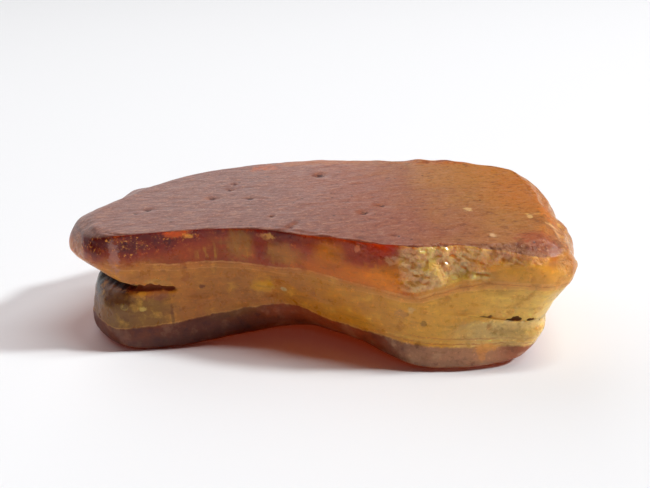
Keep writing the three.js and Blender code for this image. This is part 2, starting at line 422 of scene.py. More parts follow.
    def net(
        self,
        places: np.ndarray,
        rings: tuple[int, int],
        steps: Sequence[Sequence[float]],
    ) -> Net:
        """Draws the net: straight columns over the top and underside, smooth curves down the side.

        A column's side is the smooth curve through ten guides: two on the top, the rim, the shoulder,
        the widest point, the waist, the lobe, the foot and two on the underside, each at its distance
        from the stone's middle. The crevice, the lumps and the chips then move it in or out.

        Args:
            places: station numbers and fractions, one per column.
            rings: how many rings the top and the underside have.
            steps: the fractions at which rings lie in each of the seven parts of the side.

        Returns:
            The net, without its fine relief.
        """
        station = self.sides(places)
        x, y, widest, rim_in, rim, waist_in, waist, lobe_in, lobe, foot_in, foot, edge, cut, gap = (
            station[:, :FIRST_LINE].T
        )
        reach = np.hypot(x, y)
        out_x, out_y = x / reach, y / reach
        top_edge, toe = reach - rim_in - edge, reach - foot_in - self.toe_width

        def over(r: np.ndarray) -> np.ndarray:
            """Height of the top at a distance from the middle."""
            return self.top_at(out_x * r, out_y * r)

        def under(r: np.ndarray) -> np.ndarray:
            """Height of the underside at a distance from the middle."""
            return self.underside_at(out_x * r, out_y * r)

        def crevice(height: np.ndarray) -> np.ndarray:
            """How far the crevice cuts in: a hill of the height above the waist."""
            return np.maximum(cut, 0) * hill((height - waist) ** 2, gap)

        guides = np.array([
            (top_edge - edge, over(top_edge - edge)),
            (top_edge, over(top_edge)),
            (reach - rim_in, rim),
            (reach - rim_in * self.shoulder_share, rim - self.shoulder_drop),
            (reach, widest),
            (reach - waist_in, waist),
            (reach - lobe_in, lobe),
            (reach - foot_in, foot),
            (toe, under(toe)),
            (toe - self.toe_width, under(toe - self.toe_width)),
        ])
        rows = [(r, over(r)) for r in (top_edge * k / rings[0] for k in range(1, rings[0]))]
        tops, sides = [1.0] * len(rows), [0.0] * len(rows)
        for part, fractions in enumerate(steps):
            for t in fractions:
                r, z = smooth(*guides[part:part + 4], t)
                rows.append((r - crevice(z), z))
                tops.append(max(0.0, 1 - part - t))
                sides.append(min(part + t, len(steps) - part - t, 1.0))
        rows += [(r, under(r)) for r in (toe * k / rings[1] for k in range(rings[1], 0, -1))]
        tops, sides = (np.array(v + [0.0] * rings[1])[:, None] for v in (tops, sides))
        rows = np.array(rows)
        r, z = rows[:, 0], rows[:, 1]
        points = np.stack([out_x * r, out_y * r, z], -1)
        outward = np.stack([out_x, out_y, 0 * out_x], -1)
        on_side = np.zeros(len(rows))
        on_side[rings[0] - 1:len(rows) - rings[1]] = 1
        lump = self.lumps(*np.moveaxis(points, -1, 0)) * sides
        chip = self.chip_depth(points) * on_side[:, None]
        points = points + (lump - chip)[..., None] * outward
        base = points.copy()
        for swelling in self.swellings:
            share = hill(((base - swelling.at) ** 2).sum(-1), swelling.reach)
            points = points + share[..., None] * np.array(swelling.push)
        width = points.shape[1]
        return Net(
            points=points,
            lines=station[:, FIRST_LINE:].T,
            top=np.repeat(tops, width, 1),
            side=np.repeat(sides, width, 1),
            chipped=chip,
            cleft=crevice(z),
        )

    def middle(self) -> np.ndarray:
        """Finds the middle of the solid's own box in plan, on the ground, so that both lie in one frame.

        Returns:
            That point in the stations' own measures.
        """
        places = np.arange(len(STATIONS) * self.coarse_columns) / self.coarse_columns
        points = self.net(places, self.coarse_rings, self.coarse_steps).points.reshape(-1, 3)
        low, high = points.min(0), points.max(0)
        return np.array([(low[0] + high[0]) / 2, (low[1] + high[1]) / 2, low[2]])


@dataclass(frozen=True)
class Pit:
    """A small hole in the skin. All lengths are in mm.

    Attributes:
        at: its middle.
        reach: how far it reaches from there.
        depth: how deep it is.
    """

    at: Point
    reach: float
    depth: float


@dataclass(frozen=True)
class Facet:
    """A small flat face left by a chip on the front. All lengths are in mm.

    Attributes:
        x: its middle along the stone.
        z: its middle's height.
        reach: how far it reaches.
    """

    x: float
    z: float
    reach: float


@dataclass(frozen=True)
class Stretch:
    """A stretch of the side with soft ends.

    Attributes:
        sets_in: where it grows from nothing to all, in mm along the stone.
        dies_out: where it falls back to nothing.
        over: the heights over which it sets in upwards.
        strength: how strong it is in between.
    """

    sets_in: tuple[float, float]
    dies_out: tuple[float, float]
    over: tuple[float, float] = (0, 1)
    strength: float = 1.0

    def share(self, x: np.ndarray, z: np.ndarray) -> np.ndarray:
        """Gives the strength times the eased edges at its two ends and at its foot."""
        ends = ease(x, *self.sets_in) * ease(x, *self.dies_out[::-1])
        return ends * ease(z, *self.over) * self.strength


@dataclass(frozen=True)
class Crack:
    """A ragged crack along the front.

    Attributes:
        start: the place along the stone that its fall is measured from.
        height: its height there.
        slope: how far it falls per mm.
        curve: how far it falls per mm squared.
        waver: how far a noise moves it up and down.
        reach: half its width.
        torn: how much a noise widens and narrows it.
        front: where it sets in, from back to front.
    """

    start: float
    height: float
    slope: float
    curve: float
    waver: float
    reach: float
    torn: float
    front: tuple[float, float]

    def across(self, points: np.ndarray, ragged: np.ndarray, torn: np.ndarray) -> np.ndarray:
        """Gives a hill of the distance above the crack's middle line, which two noises make ragged.

        Args:
            points: places on the stone.
            ragged: the noise that moves the line.
            torn: the noise that widens it.

        Returns:
            1 on the line, falling to 0 beside it.
        """
        x, y, z = np.moveaxis(points, -1, 0)
        past = x - self.start
        above = z - self.height + self.slope * past + self.curve * past**2 - self.waver * ragged
        return hill(above**2, self.reach + self.torn * torn) * ease(y, *self.front)


@dataclass(frozen=True)
class Relief:
    """The fine surface: leathery top, pits, a crinkled nose, grit in the crevice and ragged cracks.

    Attributes:
        seed: which set of random bowls.
        everywhere: the noises that the whole skin has.
        leather: the top's own noises.
        wax: the side's own noises.
        rim: the noises round the rim.
        rim_front: where the rim's noises start to grow and where they are doubled, along y.
        base_step: height of the ledge at the base line.
        pale_step: height of the ledge at the pale line.
        step_reach: half the width of a ledge.
        lean: the slant of the broken surface's ridges.
        ridges: the broken surface's large and small ridges.
        fan: the creases that spread over the nose.
        fan_from: where they spread from.
        fan_spread: creases per radian.
        nose_end: where along the stone the fan dies out.
        patches: the broken stretches of the front.
        lip_top: the height at which a broken stretch ends below the top.
        back_of_front: where the front's broken stretches set in, from back to front.
        end_patch: where the right end's broken stretch sets in along the stone.
        end_back: where it sets in, from back to front.
        end_strength: how fresh it is.
        side_edge: how fast all of them set in from the edge of the side.
        over_pale: where all of them set in above the pale line.
        bowl_count: how many small bowls there are.
        bowl_reach: the smallest and the largest reach of a bowl.
        bowl_depth: a bowl's depth as a share of its reach.
        bowl_scatter: how far a bowl's middle lies off the surface.
        bowl_small: past which place along the stone the bowls are smaller, and by how much.
        grit: the grains in the crevice.
        grit_depth: how deep the crevice is where the grains are all there.
        dark_depth: how deep it is where it is all dark.
        groove_end: where along the stone the crevice gives way to the right waist groove.
        left_crack: the slot in the left waist.
        left_stretch: how far it runs.
        left_strength: how deep it is there, and how much a noise varies that.
        right_crack: the crack in the right waist.
        right_stretches: how far its faint part and its wide part run.
        right_strength: how deep the wide part is, and how much a noise varies that.
        crack_depths: how deep the two cracks are.
        crack_dark: how much darker than deep they are.
        ragged: the noise that bends the cracks.
        torn: the noise that widens and narrows them.
        top_lean: how far up the skin looks where the top sets in, and where it is full.
        top_from: the heights over which the top sets in.
        facet_leans: the two ways that the small flat faces look.
        facet_front: how far forward the skin has to be for such a face, along y.
        facet_edge: where a face sets in and is full, as shares of its reach.
        facet_step: how far a point may move onto a face.
        facets: the faces.
        pits: the pits.
    """

    seed: int = 7
    everywhere: tuple[Roughness, ...] = (
        Roughness(Grain(2.4, 1), 0.05),
        Roughness(Grain(7.0, 2, 2), 0.10),
    )
    leather: tuple[Roughness, ...] = (Roughness(Grain(1.1, 3, 2), 0.05, (0.45, 1.2, 1)),)
    wax: tuple[Roughness, ...] = (Roughness(Grain(1.5, 9, 2), 0.09, (0.7, 0.7, 1.2)),)
    rim: tuple[Roughness, ...] = (
        Roughness(Grain(1.6, 5), 0.10),
        Roughness(Grain(4.2, 10, 2), 0.16),
    )
    rim_front: tuple[float, float] = (0, -6)
    base_step: float = 0.05
    pale_step: float = 0.03
    step_reach: float = 0.15
    lean: tuple[Point, Point, Point] = ((1, 0, 0.5), (0, 1, 0), (-0.5, 0, 1.2))
    ridges: tuple[Roughness, ...] = (
        Roughness(Grain(2.2, 4, 2), 0.15),
        Roughness(Grain(0.8, 11, 2), 0.07),
    )
    fan: Roughness = Roughness(Grain(1.0, 12, 2), 0.12, (1, 0.4, 0.3))
    fan_from: Point = (15.0, -18.0, 21.5)
    fan_spread: float = 6.5
    nose_end: tuple[float, float] = (24, 21)
    patches: tuple[Stretch, ...] = (
        Stretch((8.5, 11.5), (20.5, 23.0)),
        Stretch((20, 22), (29, 31), (16.0, 17.0)),
        Stretch((3.4, 4.6), (8.2, 9.6), (16.4, 17.4), 0.35),
    )
    lip_top: tuple[float, float] = (19.7, 19.0)
    back_of_front: tuple[float, float] = (-9, -13)
    end_patch: tuple[float, float] = (30.0, 33.0)
    end_back: tuple[float, float] = (10, 2)
    end_strength: float = 0.6
    side_edge: float = 3
    over_pale: tuple[float, float] = (0.2, 1.4)
    bowl_count: int = 480
    bowl_reach: tuple[float, float] = (0.35, 1.1)
    bowl_depth: float = 0.25
    bowl_scatter: float = 0.15
    bowl_small: tuple[float, float] = (22, 0.6)
    grit: Roughness = Roughness(Grain(0.8, 6, 2), 0.26)
    grit_depth: float = 1.2
    dark_depth: float = 1.6
    groove_end: tuple[float, float] = (10, 14)
    left_crack: Crack = Crack(-32, 10.75, 0.06, 0, 0.5, 0.40, 0.30, (-4, -6))
    left_stretch: Stretch = Stretch((-33.5, -31.5), (-22.9, -22.2))
    left_strength: tuple[float, float] = (0.9, 0.4)
    right_crack: Crack = Crack(20, 8.3, 0, 0.012, 0.45, 0.13, 0.20, (-9, -12))
    right_stretches: tuple[Stretch, Stretch] = (
        Stretch((18.8, 20.0), (22.6, 23.4), strength=0.4),
        Stretch((24.6, 25.2), (30.4, 31.6)),
    )
    right_strength: tuple[float, float] = (0.85, 0.5)
    crack_depths: tuple[float, float] = (0.6, 0.5)
    crack_dark: float = 1.3
    ragged: Roughness = Roughness(Grain(1.3, 8, 2), 1, (1, 1, 0.2))
    torn: Roughness = Roughness(Grain(0.55, 13), 1)
    top_lean: tuple[float, float] = (0.25, 0.85)
    top_from: tuple[float, float] = (13, 15)
    facet_leans: tuple[Point, Point] = ((0.40, -0.60, 0.69), (0.13, -0.53, 0.84))
    facet_front: float = -5
    facet_edge: tuple[float, float] = (1.5, 0.9)
    facet_step: float = 0.35
    facets: tuple[Facet, ...] = (
        Facet(18.6, 15.9, 0.45),
        Facet(21.6, 14.9, 0.5),
        Facet(19.2, 17.1, 0.35),
        Facet(20.6, 15.0, 0.45),
        Facet(9.0, 17.0, 0.35),
        Facet(13.2, 18.6, 0.4),
        Facet(12.1, 17.4, 0.35),
        Facet(12.2, 15.1, 0.4),
        Facet(13.8, 14.9, 0.35),
        Facet(15.4, 17.7, 0.4),
        Facet(17.2, 17.6, 0.4),
        Facet(17.6, 14.9, 0.4),
        Facet(16.3, 18.7, 0.35),
        Facet(4.5, 18.6, 0.35),
        Facet(16.3, 16.6, 0.4),
        Facet(13.2, 13.9, 0.35),
    )
    pits: tuple[Pit, ...] = (
        Pit((-28.6, -1.8, 19.1), 0.45, 0.25),
        Pit((-26.9, -0.5, 19.2), 0.55, 0.30),
        Pit((-17.5, 3.2, 19.4), 0.65, 0.35),
        Pit((-15.0, 6.7, 19.5), 0.6, 0.30),
        Pit((-14.5, 9.2, 19.5), 0.45, 0.25),
        Pit((-11.5, 2.5, 19.5), 0.65, 0.35),
        Pit((-7.7, -5.3, 19.5), 0.4, 0.20),
        Pit((-4.1, -8.3, 19.6), 0.5, 0.35),
        Pit((-4.8, -9.5, 19.6), 0.6, 0.35),
        Pit((-0.4, 11.8, 19.6), 1.0, 0.40),
        Pit((5.9, -5.5, 19.6), 0.7, 0.40),
        Pit((8.8, -3.0, 19.6), 0.55, 0.30),
        Pit((9.8, -13.8, 19.5), 0.45, 0.25),
    )

    def normals(self, points: np.ndarray) -> np.ndarray:
        """Gives outward normals: the cross product of the steps down a column and along a ring.

        Args:
            points: rings by columns of points.

        Returns:
            One vector of length 1 per point.
        """
        along = np.roll(points, -1, 1) - np.roll(points, 1, 1)
        down = np.gradient(points, axis=0)
        normal = np.cross(down, along)
        return normal / np.maximum(np.linalg.norm(normal, axis=-1, keepdims=True), 1e-9)

    def broken(self, points: np.ndarray, above_pale: np.ndarray, side: np.ndarray) -> np.ndarray:
        """How freshly broken a point is: the sum of its stretches, each a product of eased edges.

        The stretches are the nose, its lip to the right, a small glassy patch to its left and the
        right end, all of them above the pale line.

        Args:
            points: places on the stone.
            above_pale: height above the pale line.
            side: 1 on the side.

        Returns:
            The freshness, from 0 to 1.
        """
        x, y, z = np.moveaxis(points, -1, 0)
        front = sum(patch.share(x, z) for patch in self.patches) * ease(z, *self.lip_top)
        front *= ease(y, *self.back_of_front) * np.clip(side * self.side_edge, 0, 1)
        end = ease(x, *self.end_patch) * ease(y, *self.end_back) * self.end_strength
        return np.clip(front + end, 0, 1) * ease(above_pale, *self.over_pale)

    def bowls(self, points: np.ndarray, weight: np.ndarray) -> np.ndarray:
        """Depth of small overlapping bowls: the deepest of depth times 1 minus (distance over reach) squared.

        Args:
            points: places on the stone.
            weight: how likely a bowl is at each of them, before it is squared.

        Returns:
            The depth at each place.
        """
        random = np.random.default_rng(self.seed)
        flat, chance = points.reshape(-1, 3), weight.reshape(-1) ** 2
        picked = flat[random.choice(len(flat), self.bowl_count, p=chance / chance.sum())]
        small_past, smaller = self.bowl_small
        reaches = random.uniform(*self.bowl_reach, self.bowl_count)
        reaches = reaches * np.where(picked[:, 0] > small_past, smaller, 1)
        depth = np.zeros(len(flat))
        for middle, reach in zip(picked, reaches):
            squared = ((flat - middle - random.normal(0, self.bowl_scatter, 3)) ** 2).sum(-1)
            depth = np.maximum(depth, self.bowl_depth * reach * (1 - squared / reach**2))
        return depth.reshape(weight.shape)

    def flatten(self, points: np.ndarray) -> tuple[np.ndarray, np.ndarray]:
        """Lays the small flat faces, which lean one way and the other in turn.

        Points within a face's reach move onto its plane by their distance from it, times an eased edge.

        Args:
            points: rings by columns of points, in mm.

        Returns:
            The moved points, and a mask that is 1 on the faces.
        """
        behind = np.where(points[..., 1] < self.facet_front, 0, np.inf)
        flat = np.zeros(points.shape[:2])
        for number, facet in enumerate(self.facets):
            lean = np.array(self.facet_leans[number % 2])
            apart = (points[..., 0] - facet.x) ** 2 + (points[..., 2] - facet.z) ** 2 + behind
            offset = points - points[np.unravel_index(apart.argmin(), apart.shape)]
            away = np.clip(offset @ lean, -self.facet_step, self.facet_step)
            inside = ease(np.sqrt((offset**2).sum(-1)) / facet.reach, *self.facet_edge)
            points = points - (away * inside)[..., None] * lean
            flat = np.maximum(flat, inside)
        return points, flat

    def crumpled(self, points: np.ndarray) -> np.ndarray:
        """Height of the broken surface's crests: slanting ridges, and on the nose a fan of creases.

        The fan is a ridged noise of the angle round the point that it spreads from, of the distance
        from there and of y, so its creases run outwards.

        Args:
            points: places on the stone.

        Returns:
            The height at each place.
        """
        x, y, z = np.moveaxis(points, -1, 0)
        leaning = points @ np.array(self.lean)
        across, down = x - self.fan_from[0], self.fan_from[2] - z
        turned = np.stack([np.arctan2(across, down) * self.fan_spread, np.hypot(across, down), y], -1)
        crests = sum(ridge.ridged(leaning) for ridge in self.ridges)
        return crests + ease(x, *self.nose_end) * self.fan.ridged(turned)

    def waves(self, net: Net, on_side: np.ndarray) -> np.ndarray:
        """Height of the gentle noises: each kind times its share of the skin.

        The rim's share is 4 t (1 - t), with t the top's share, and it doubles towards the front.

        Args:
            net: the large shape.
            on_side: 1 on the side.

        Returns:
            The height at each point of the net.
        """
        front = ease(net.points[..., 1], *self.rim_front)
        rim = np.clip(4 * net.top * (1 - net.top), 0, 1) * (1 + front)
        kinds = ((1.0, self.everywhere), (net.top, self.leather), (on_side, self.wax), (rim, self.rim))
        return sum(share * noise.at(net.points) for share, noises in kinds for noise in noises)

    def ledges(self, above_pale: np.ndarray, above_base: np.ndarray) -> np.ndarray:
        """Height of the steps at the pale line and the base line: a tanh of the height above each."""
        lower = self.base_step * np.tanh(-above_base / self.step_reach)
        return lower - self.pale_step * np.tanh(above_pale / self.step_reach)

    def cracks(self, points: np.ndarray, on_side: np.ndarray) -> tuple[np.ndarray, np.ndarray]:
        """How far inside the left crack and the right one a point is.

        Args:
            points: places on the stone.
            on_side: 1 on the side.

        Returns:
            The left crack's share and the right one's, each from 0 to 1.
        """
        x, z = points[..., 0], points[..., 2]
        ragged, torn = self.ragged.at(points), self.torn.at(points)
        strong, varied = self.left_strength
        left = self.left_crack.across(points, ragged, torn) * self.left_stretch.share(x, z)
        left = left * (strong + varied * ragged)
        strong, varied = self.right_strength
        faint, wide = (stretch.share(x, z) for stretch in self.right_stretches)
        right = self.right_crack.across(points, ragged, torn) * (faint + wide * (strong + varied * torn))
        return np.clip(on_side * left, 0, 1), np.clip(on_side * right, 0, 1)

    def carve(self, net: Net) -> Net:
        """Moves every point along its normal by the sum of the fine details.

        The sum is the gentle waves, the ledges, crests less bowls where the stone is broken, less the
        pits, plus grit in the crevice, less the ragged cracks. The right waist groove is filled by its
        own depth, so that only its ragged crack stays.

        Args:
            net: the large shape.

        Returns:
            The same net with its points moved and its masks filled.
        """
        points = net.points
        x, z = points[..., 0], points[..., 2]
        above_pale = z - net.lines[Line.PALE.value]
        above_base = z - net.lines[Line.BASE.value]
        on_side = np.clip(net.side, 0, 1)
        broken = self.broken(points, above_pale, on_side)
        crest = broken * (self.crumpled(points) - self.bowls(points, broken))
        groove = net.cleft * ease(x, *self.groove_end)
        left, right = self.cracks(points, on_side)
        height = self.waves(net, on_side) + on_side * self.ledges(above_pale, above_base) + crest
        crevice = net.cleft - groove
        height += groove + np.clip(crevice / self.grit_depth, 0, 1) * self.grit.at(points)
        height -= self.crack_depths[0] * left + self.crack_depths[1] * right
        for pit in self.pits:
            height -= pit.depth * hill(((points - pit.at) ** 2).sum(-1), pit.reach)
        normals = self.normals(points)
        moved, net.flat = self.flatten(points + height[..., None] * normals)
        on_ground = (z <= 1e-6)[..., None]
        net.points = np.where(on_ground, points, moved)
        net.points[..., 2] = np.maximum(net.points[..., 2], 0)
        net.top = ease(normals[..., 2], *self.top_lean) * ease(z, *self.top_from)
        net.chipped = broken
        net.crest = crest
        dark = np.maximum(crevice / self.dark_depth, np.maximum(left, right) * self.crack_dark)
        net.cleft = np.clip(dark, 0, 1)
        return net


def make_mesh(name: str, net: Net, poles: np.ndarray) -> bpy.types.Object:
    """Closes a net with a point at each pole and puts it into a mesh object, with its attributes.

    Args:
        name: the piece's name.
        net: rings by columns of points in mm, in the row's frame.
        poles: the top's middle point and the underside's.

    Returns:
        The new object, at the origin.
    """
    rings, width = net.points.shape[:2]
    points = np.vstack([net.points.reshape(-1, 3), poles]) * METRES
    column = np.arange(width)
    beside = (column + 1) % width
    ring = np.arange(rings - 1)[:, None] * width
    quads = np.stack([ring + column, ring + width + column, ring + width + beside, ring + beside], -1)
    last = (rings - 1) * width
    top = np.stack([np.full(width, rings * width), column, beside], -1)
    under = np.stack([np.full(width, rings * width + 1), last + beside, last + column], -1)
    corners = np.concatenate([quads.ravel(), top.ravel(), under.ravel()])
    sizes = np.concatenate([np.full(quads.size // 4, 4), np.full(2 * width, 3)])
    mesh = bpy.data.meshes.new(name)
    mesh.vertices.add(len(points))
    mesh.vertices.foreach_set("co", points.astype(np.float32).ravel())
    mesh.loops.add(len(corners))
    mesh.loops.foreach_set("vertex_index", corners.astype(np.int32))
    mesh.polygons.add(len(sizes))
    mesh.polygons.foreach_set("loop_start", np.concatenate([[0], np.cumsum(sizes)[:-1]]).astype(np.int32))
    mesh.update(calc_edges=True)
    mesh.polygons.foreach_set("use_smooth", np.ones(len(sizes), bool))
    z = net.points[..., 2]
    fields = {
        "above_pale": z - net.lines[Line.PALE.value],
        "above_base": z - net.lines[Line.BASE.value],
        "above_skin": z - net.lines[Line.SKIN.value],
        "top_skin": net.top,
        "chipped": net.chipped,
        "cleft": net.cleft,
        "crest": net.crest,
        "flat": net.flat,
    }
    for title, values in fields.items():
        ends = (values[0].mean(), values[-1].mean())
        layer = mesh.attributes.new(title, "FLOAT", "POINT")
        layer.data.foreach_set("value", np.append(values.ravel(), ends).astype(np.float32))
    mesh.validate()
    piece = bpy.data.objects.new(name, mesh)
    bpy.context.collection.objects.link(piece)
    return piece


def srgb(screen: Screen) -> Colour:
    """Turns a screen colour into linear light: a twelfth part of dark numbers, a power of 2.4 above.

    Args:
        screen: red, green and blue, each from 0 to 255.

    Returns:
        The colour in linear light, held under 0.95, and an alpha of 1.
    """
    parts = np.array(screen) / 255
    linear = np.where(parts <= 0.04045, parts / 12.92, ((parts + 0.055) / 1.055) ** 2.4)
    return (*(float(c) for c in np.minimum(linear, 0.95)), 1.0)


class Value:
    """A number in a material's node tree, with the sums that shader maths needs."""

    def __init__(self, graph: "Graph", socket: bpy.types.NodeSocket) -> None:
        """Wraps one output socket of a graph."""
        self.graph = graph
        self.socket = socket

    def math(self, operation: str, *others: "Value | float", first: bool = True) -> "Value":
        """Adds one Math node.

        Args:
            operation: the Math node's operation.
            others: the other numbers of the sum.
            first: whether this value comes before the others.

        Returns:
            The result.
        """
        terms = [self, *others] if first else [*others, self]
        node = self.graph.node("ShaderNodeMath", {"operation": operation}, dict(enumerate(terms)))
        return Value(self.graph, node.outputs[0])

    def __add__(self, other: "Value | float") -> "Value":
        """Gives the sum."""
        return self.math("ADD", other)

    __radd__ = __add__

    def __mul__(self, other: "Value | float") -> "Value":
        """Gives the product."""
        return self.math("MULTIPLY", other)

    __rmul__ = __mul__

    def __sub__(self, other: "Value | float") -> "Value":
        """Gives this less the other."""
        return self.math("SUBTRACT", other)

    def __rsub__(self, other: "Value | float") -> "Value":
        """Gives the other less this."""
        return self.math("SUBTRACT", other, first=False)

    def __truediv__(self, other: "Value | float") -> "Value":
        """Gives this over the other."""
        return self.math("DIVIDE", other)

    def __abs__(self) -> "Value":
        """Gives the size without its sign."""
        return self.math("ABSOLUTE")

    def most(self, other: "Value | float") -> "Value":
        """Gives the larger of two."""
        return self.math("MAXIMUM", other)

    def rise(self, low: float, high: float) -> "Value":
        """Rises smoothly from 0 to 1; with high below low it falls.

        Args:
            low: where it is 0.
            high: where it is 1.

        Returns:
            The share, from 0 to 1.
        """
        settings = {"interpolation_type": "SMOOTHSTEP"}
        sockets = {"Value": self, "From Min": low, "From Max": high}
        return Value(self.graph, self.graph.node("ShaderNodeMapRange", settings, sockets).outputs[0])

    def line(self, middle: float, half: float) -> "Value":
        """Gives a soft line: 1 at middle, falling smoothly to 0 at half its width away."""
        return abs(self - middle).rise(half, half * 0.35)

    def between(self, low: float, high: float, soft: float) -> "Value":
        """Gives 1 from low to high, with soft edges."""
        return self.rise(low - soft, low + soft) * self.rise(high + soft, high - soft)


class Graph:
    """Builds the nodes of one material, or of the sky."""

    def __init__(self, tree: bpy.types.NodeTree) -> None:
        """Starts on a cleared node tree."""
        self.tree = tree
        self.tree.nodes.clear()

    def node(self, kind: str, settings: Mapping[str, Any], sockets: Mapping[Any, Any]) -> bpy.types.Node:
        """Adds a node, sets its settings, then fills or links its input sockets.

        Args:
            kind: the node's type.
            settings: its own properties by name.
            sockets: input sockets by name or number, each a value, a Value or an output socket.

        Returns:
            The new node.
        """
        node = self.tree.nodes.new(kind)
        for name, setting in settings.items():
            setattr(node, name, setting)
        for key, value in sockets.items():
            socket = node.inputs[key]
            if isinstance(value, Value):
                value = value.socket
            if isinstance(value, bpy.types.NodeSocket):
                self.tree.links.new(value, socket)
            else:
                socket.default_value = value
        return node

    def attribute(self, title: str) -> Value:
        """Reads one of the mesh's own fields."""
        node = self.node("ShaderNodeAttribute", {"attribute_name": title}, {})
        return Value(self, node.outputs["Fac"])

    def scaled(self, vector: bpy.types.NodeSocket, by: Point) -> bpy.types.NodeSocket:
        """Stretches a vector by three factors."""
        return self.node("ShaderNodeVectorMath", {"operation": "MULTIPLY"}, {0: vector, 1: by}).outputs[0]

    def measure(self, operation: str, *vectors: Any) -> Value:
        """Gives the number that a Vector Math node makes of its vectors, such as a length."""
        node = self.node("ShaderNodeVectorMath", {"operation": operation}, dict(enumerate(vectors)))
        return Value(self, node.outputs["Value"])

    def noise(self, vector: bpy.types.NodeSocket, cell: float, detail: float, rough: float = 0.55) -> Value:
        """Makes noise from 0 to 1.

        Args:
            vector: the place that it depends on.
            cell: how far across its lumps are.
            detail: how many finer copies are added.
            rough: how strong each copy is, as a share of the one before.

        Returns:
            The noise.
        """
        sockets = {"Vector": vector, "Scale": 1 / cell, "Detail": detail, "Roughness": rough}
        return Value(self, self.node("ShaderNodeTexNoise", {}, sockets).outputs["Fac"])

    def cells(self, vector: bpy.types.NodeSocket, cell: float) -> tuple[Value, Value]:
        """Scatters points, one to a cell.

        Args:
            vector: the place to look from.
            cell: how far apart they are.

        Returns:
            The distance to the nearest point, in cells, and that point's own random number.
        """
        node = self.node("ShaderNodeTexVoronoi", {}, {"Vector": vector, "Scale": 1 / cell})
        split = self.node("ShaderNodeSeparateColor", {}, {"Color": node.outputs["Color"]})
        return Value(self, node.outputs["Distance"]), Value(self, split.outputs[0])

    def mix(self, factor: "Value | float", a: Paint, b: Paint) -> bpy.types.NodeSocket:
        """Blends colour a into colour b by factor."""
        return self.node("ShaderNodeMix", {"data_type": "RGBA"}, {0: factor, 6: a, 7: b}).outputs[2]

    def paint(
        self, shade: Callable[[Screen], Colour], start: Paint, *coats: tuple["Value", Screen]
    ) -> Paint:
        """Lays coats over a start colour.

        Args:
            shade: turns a screen colour into linear light.
            start: the colour below, already in linear light.
            coats: a factor and a screen colour each, in the order in which they are laid.

        Returns:
            The colour on top.
        """
        colour = start
        for factor, coat in coats:
            colour = self.mix(factor, colour, shade(coat))
        return colour


def new_material(name: str) -> bpy.types.Material:
    """Makes a material that uses nodes.

    Args:
        name: its name.

    Returns:
        The material.
    """
    material = bpy.data.materials.new(name)
    material.use_nodes = True
    return material


class Reading:
    """What the stone's material reads at each point, as values in one node tree.

    Attributes:
        graph: the node tree.
        mm: the place in the stations' own frame, in mm.
        x: how far along the stone.
        y: how far back.
        z: how far up.
        broad: noise of 5 mm lumps, from 0 to 1.
        mid: noise of 2.2 mm lumps.
        fine: noise of 1 mm lumps.
        grit: noise of 0.42 mm lumps.
        layered: noise that is drawn out along the layers.
        wrinkle: noise that is drawn out along the stone, for the top.
        top: 1 on the top skin.
        chipped: how freshly broken the surface is.
        cleft: how deep inside the crevice or a crack.
        along: x with a wavering edge.
        above_pale: height above the wavering pale line.
        above_base: height above the wavering base line.
        ragged: noise about 0 that makes the edge of a patch ragged.
    """

    def __init__(self, graph: Graph, middle: np.ndarray) -> None:
        """Sets up the places, the noises and the mesh's fields.

        The lines waver by 0.8 times the broad noise and 0.5 times the fine one, each less a half.

        Args:
            graph: the material's node tree.
            middle: where the frame's origin lies in the stations' own measures, in mm.
        """
        self.graph = graph
        place = graph.node("ShaderNodeTexCoord", {}, {}).outputs["Object"]
        sockets = {0: place, 1: (1000, 1000, 1000), 2: tuple(float(c) for c in middle)}
        self.mm = graph.node("ShaderNodeVectorMath", {"operation": "MULTIPLY_ADD"}, sockets).outputs[0]
        split = graph.node("ShaderNodeSeparateXYZ", {}, {0: self.mm})
        self.x, self.y, self.z = (Value(graph, output) for output in split.outputs)
        self.broad = graph.noise(self.mm, 5.0, 4)
        self.mid = graph.noise(self.mm, 2.2, 4, 0.6)
        self.fine = graph.noise(self.mm, 1.0, 4, 0.6)
        self.grit = graph.noise(self.mm, 0.42, 3, 0.65)
        self.layered = graph.noise(graph.scaled(self.mm, (0.4, 0.4, 1.3)), 1.2, 4, 0.6)
        self.wrinkle = graph.noise(graph.scaled(self.mm, (0.5, 1.0, 1)), 0.7, 4, 0.62)
        self.top = graph.attribute("top_skin")
        self.chipped = graph.attribute("chipped")
        self.cleft = graph.attribute("cleft")
        self.along = self.x + (self.mid - 0.5) * 6
        waver = (self.broad - 0.5) * 0.8 + (self.fine - 0.5) * 0.5
        self.above_pale = graph.attribute("above_pale") + waver
        self.above_base = graph.attribute("above_base") + waver * 1.2
        self.ragged = (self.fine - 0.5) * 2.6 + (self.grit - 0.5) * 1.2


@dataclass(frozen=True)
class Fleck:
    """A small patch of its own colour. Some are marks of the stone; others are painted highlights, painted
    sheen and painted glow. All lengths are in mm.

    Attributes:
        x: its middle along the stone.
        across: its middle across the face that it is on: up on the front, back on the top.
        wide: half its width.
        high: half its height.
        colour: its screen colour, each part from 0 to 255.
        strength: how much it covers.
        soft: how softly it fades; 1 is a crisp ragged edge.
    """

    x: float
    across: float
    wide: float
    high: float
    colour: Screen
    strength: float = 0.8
    soft: float = 1.0


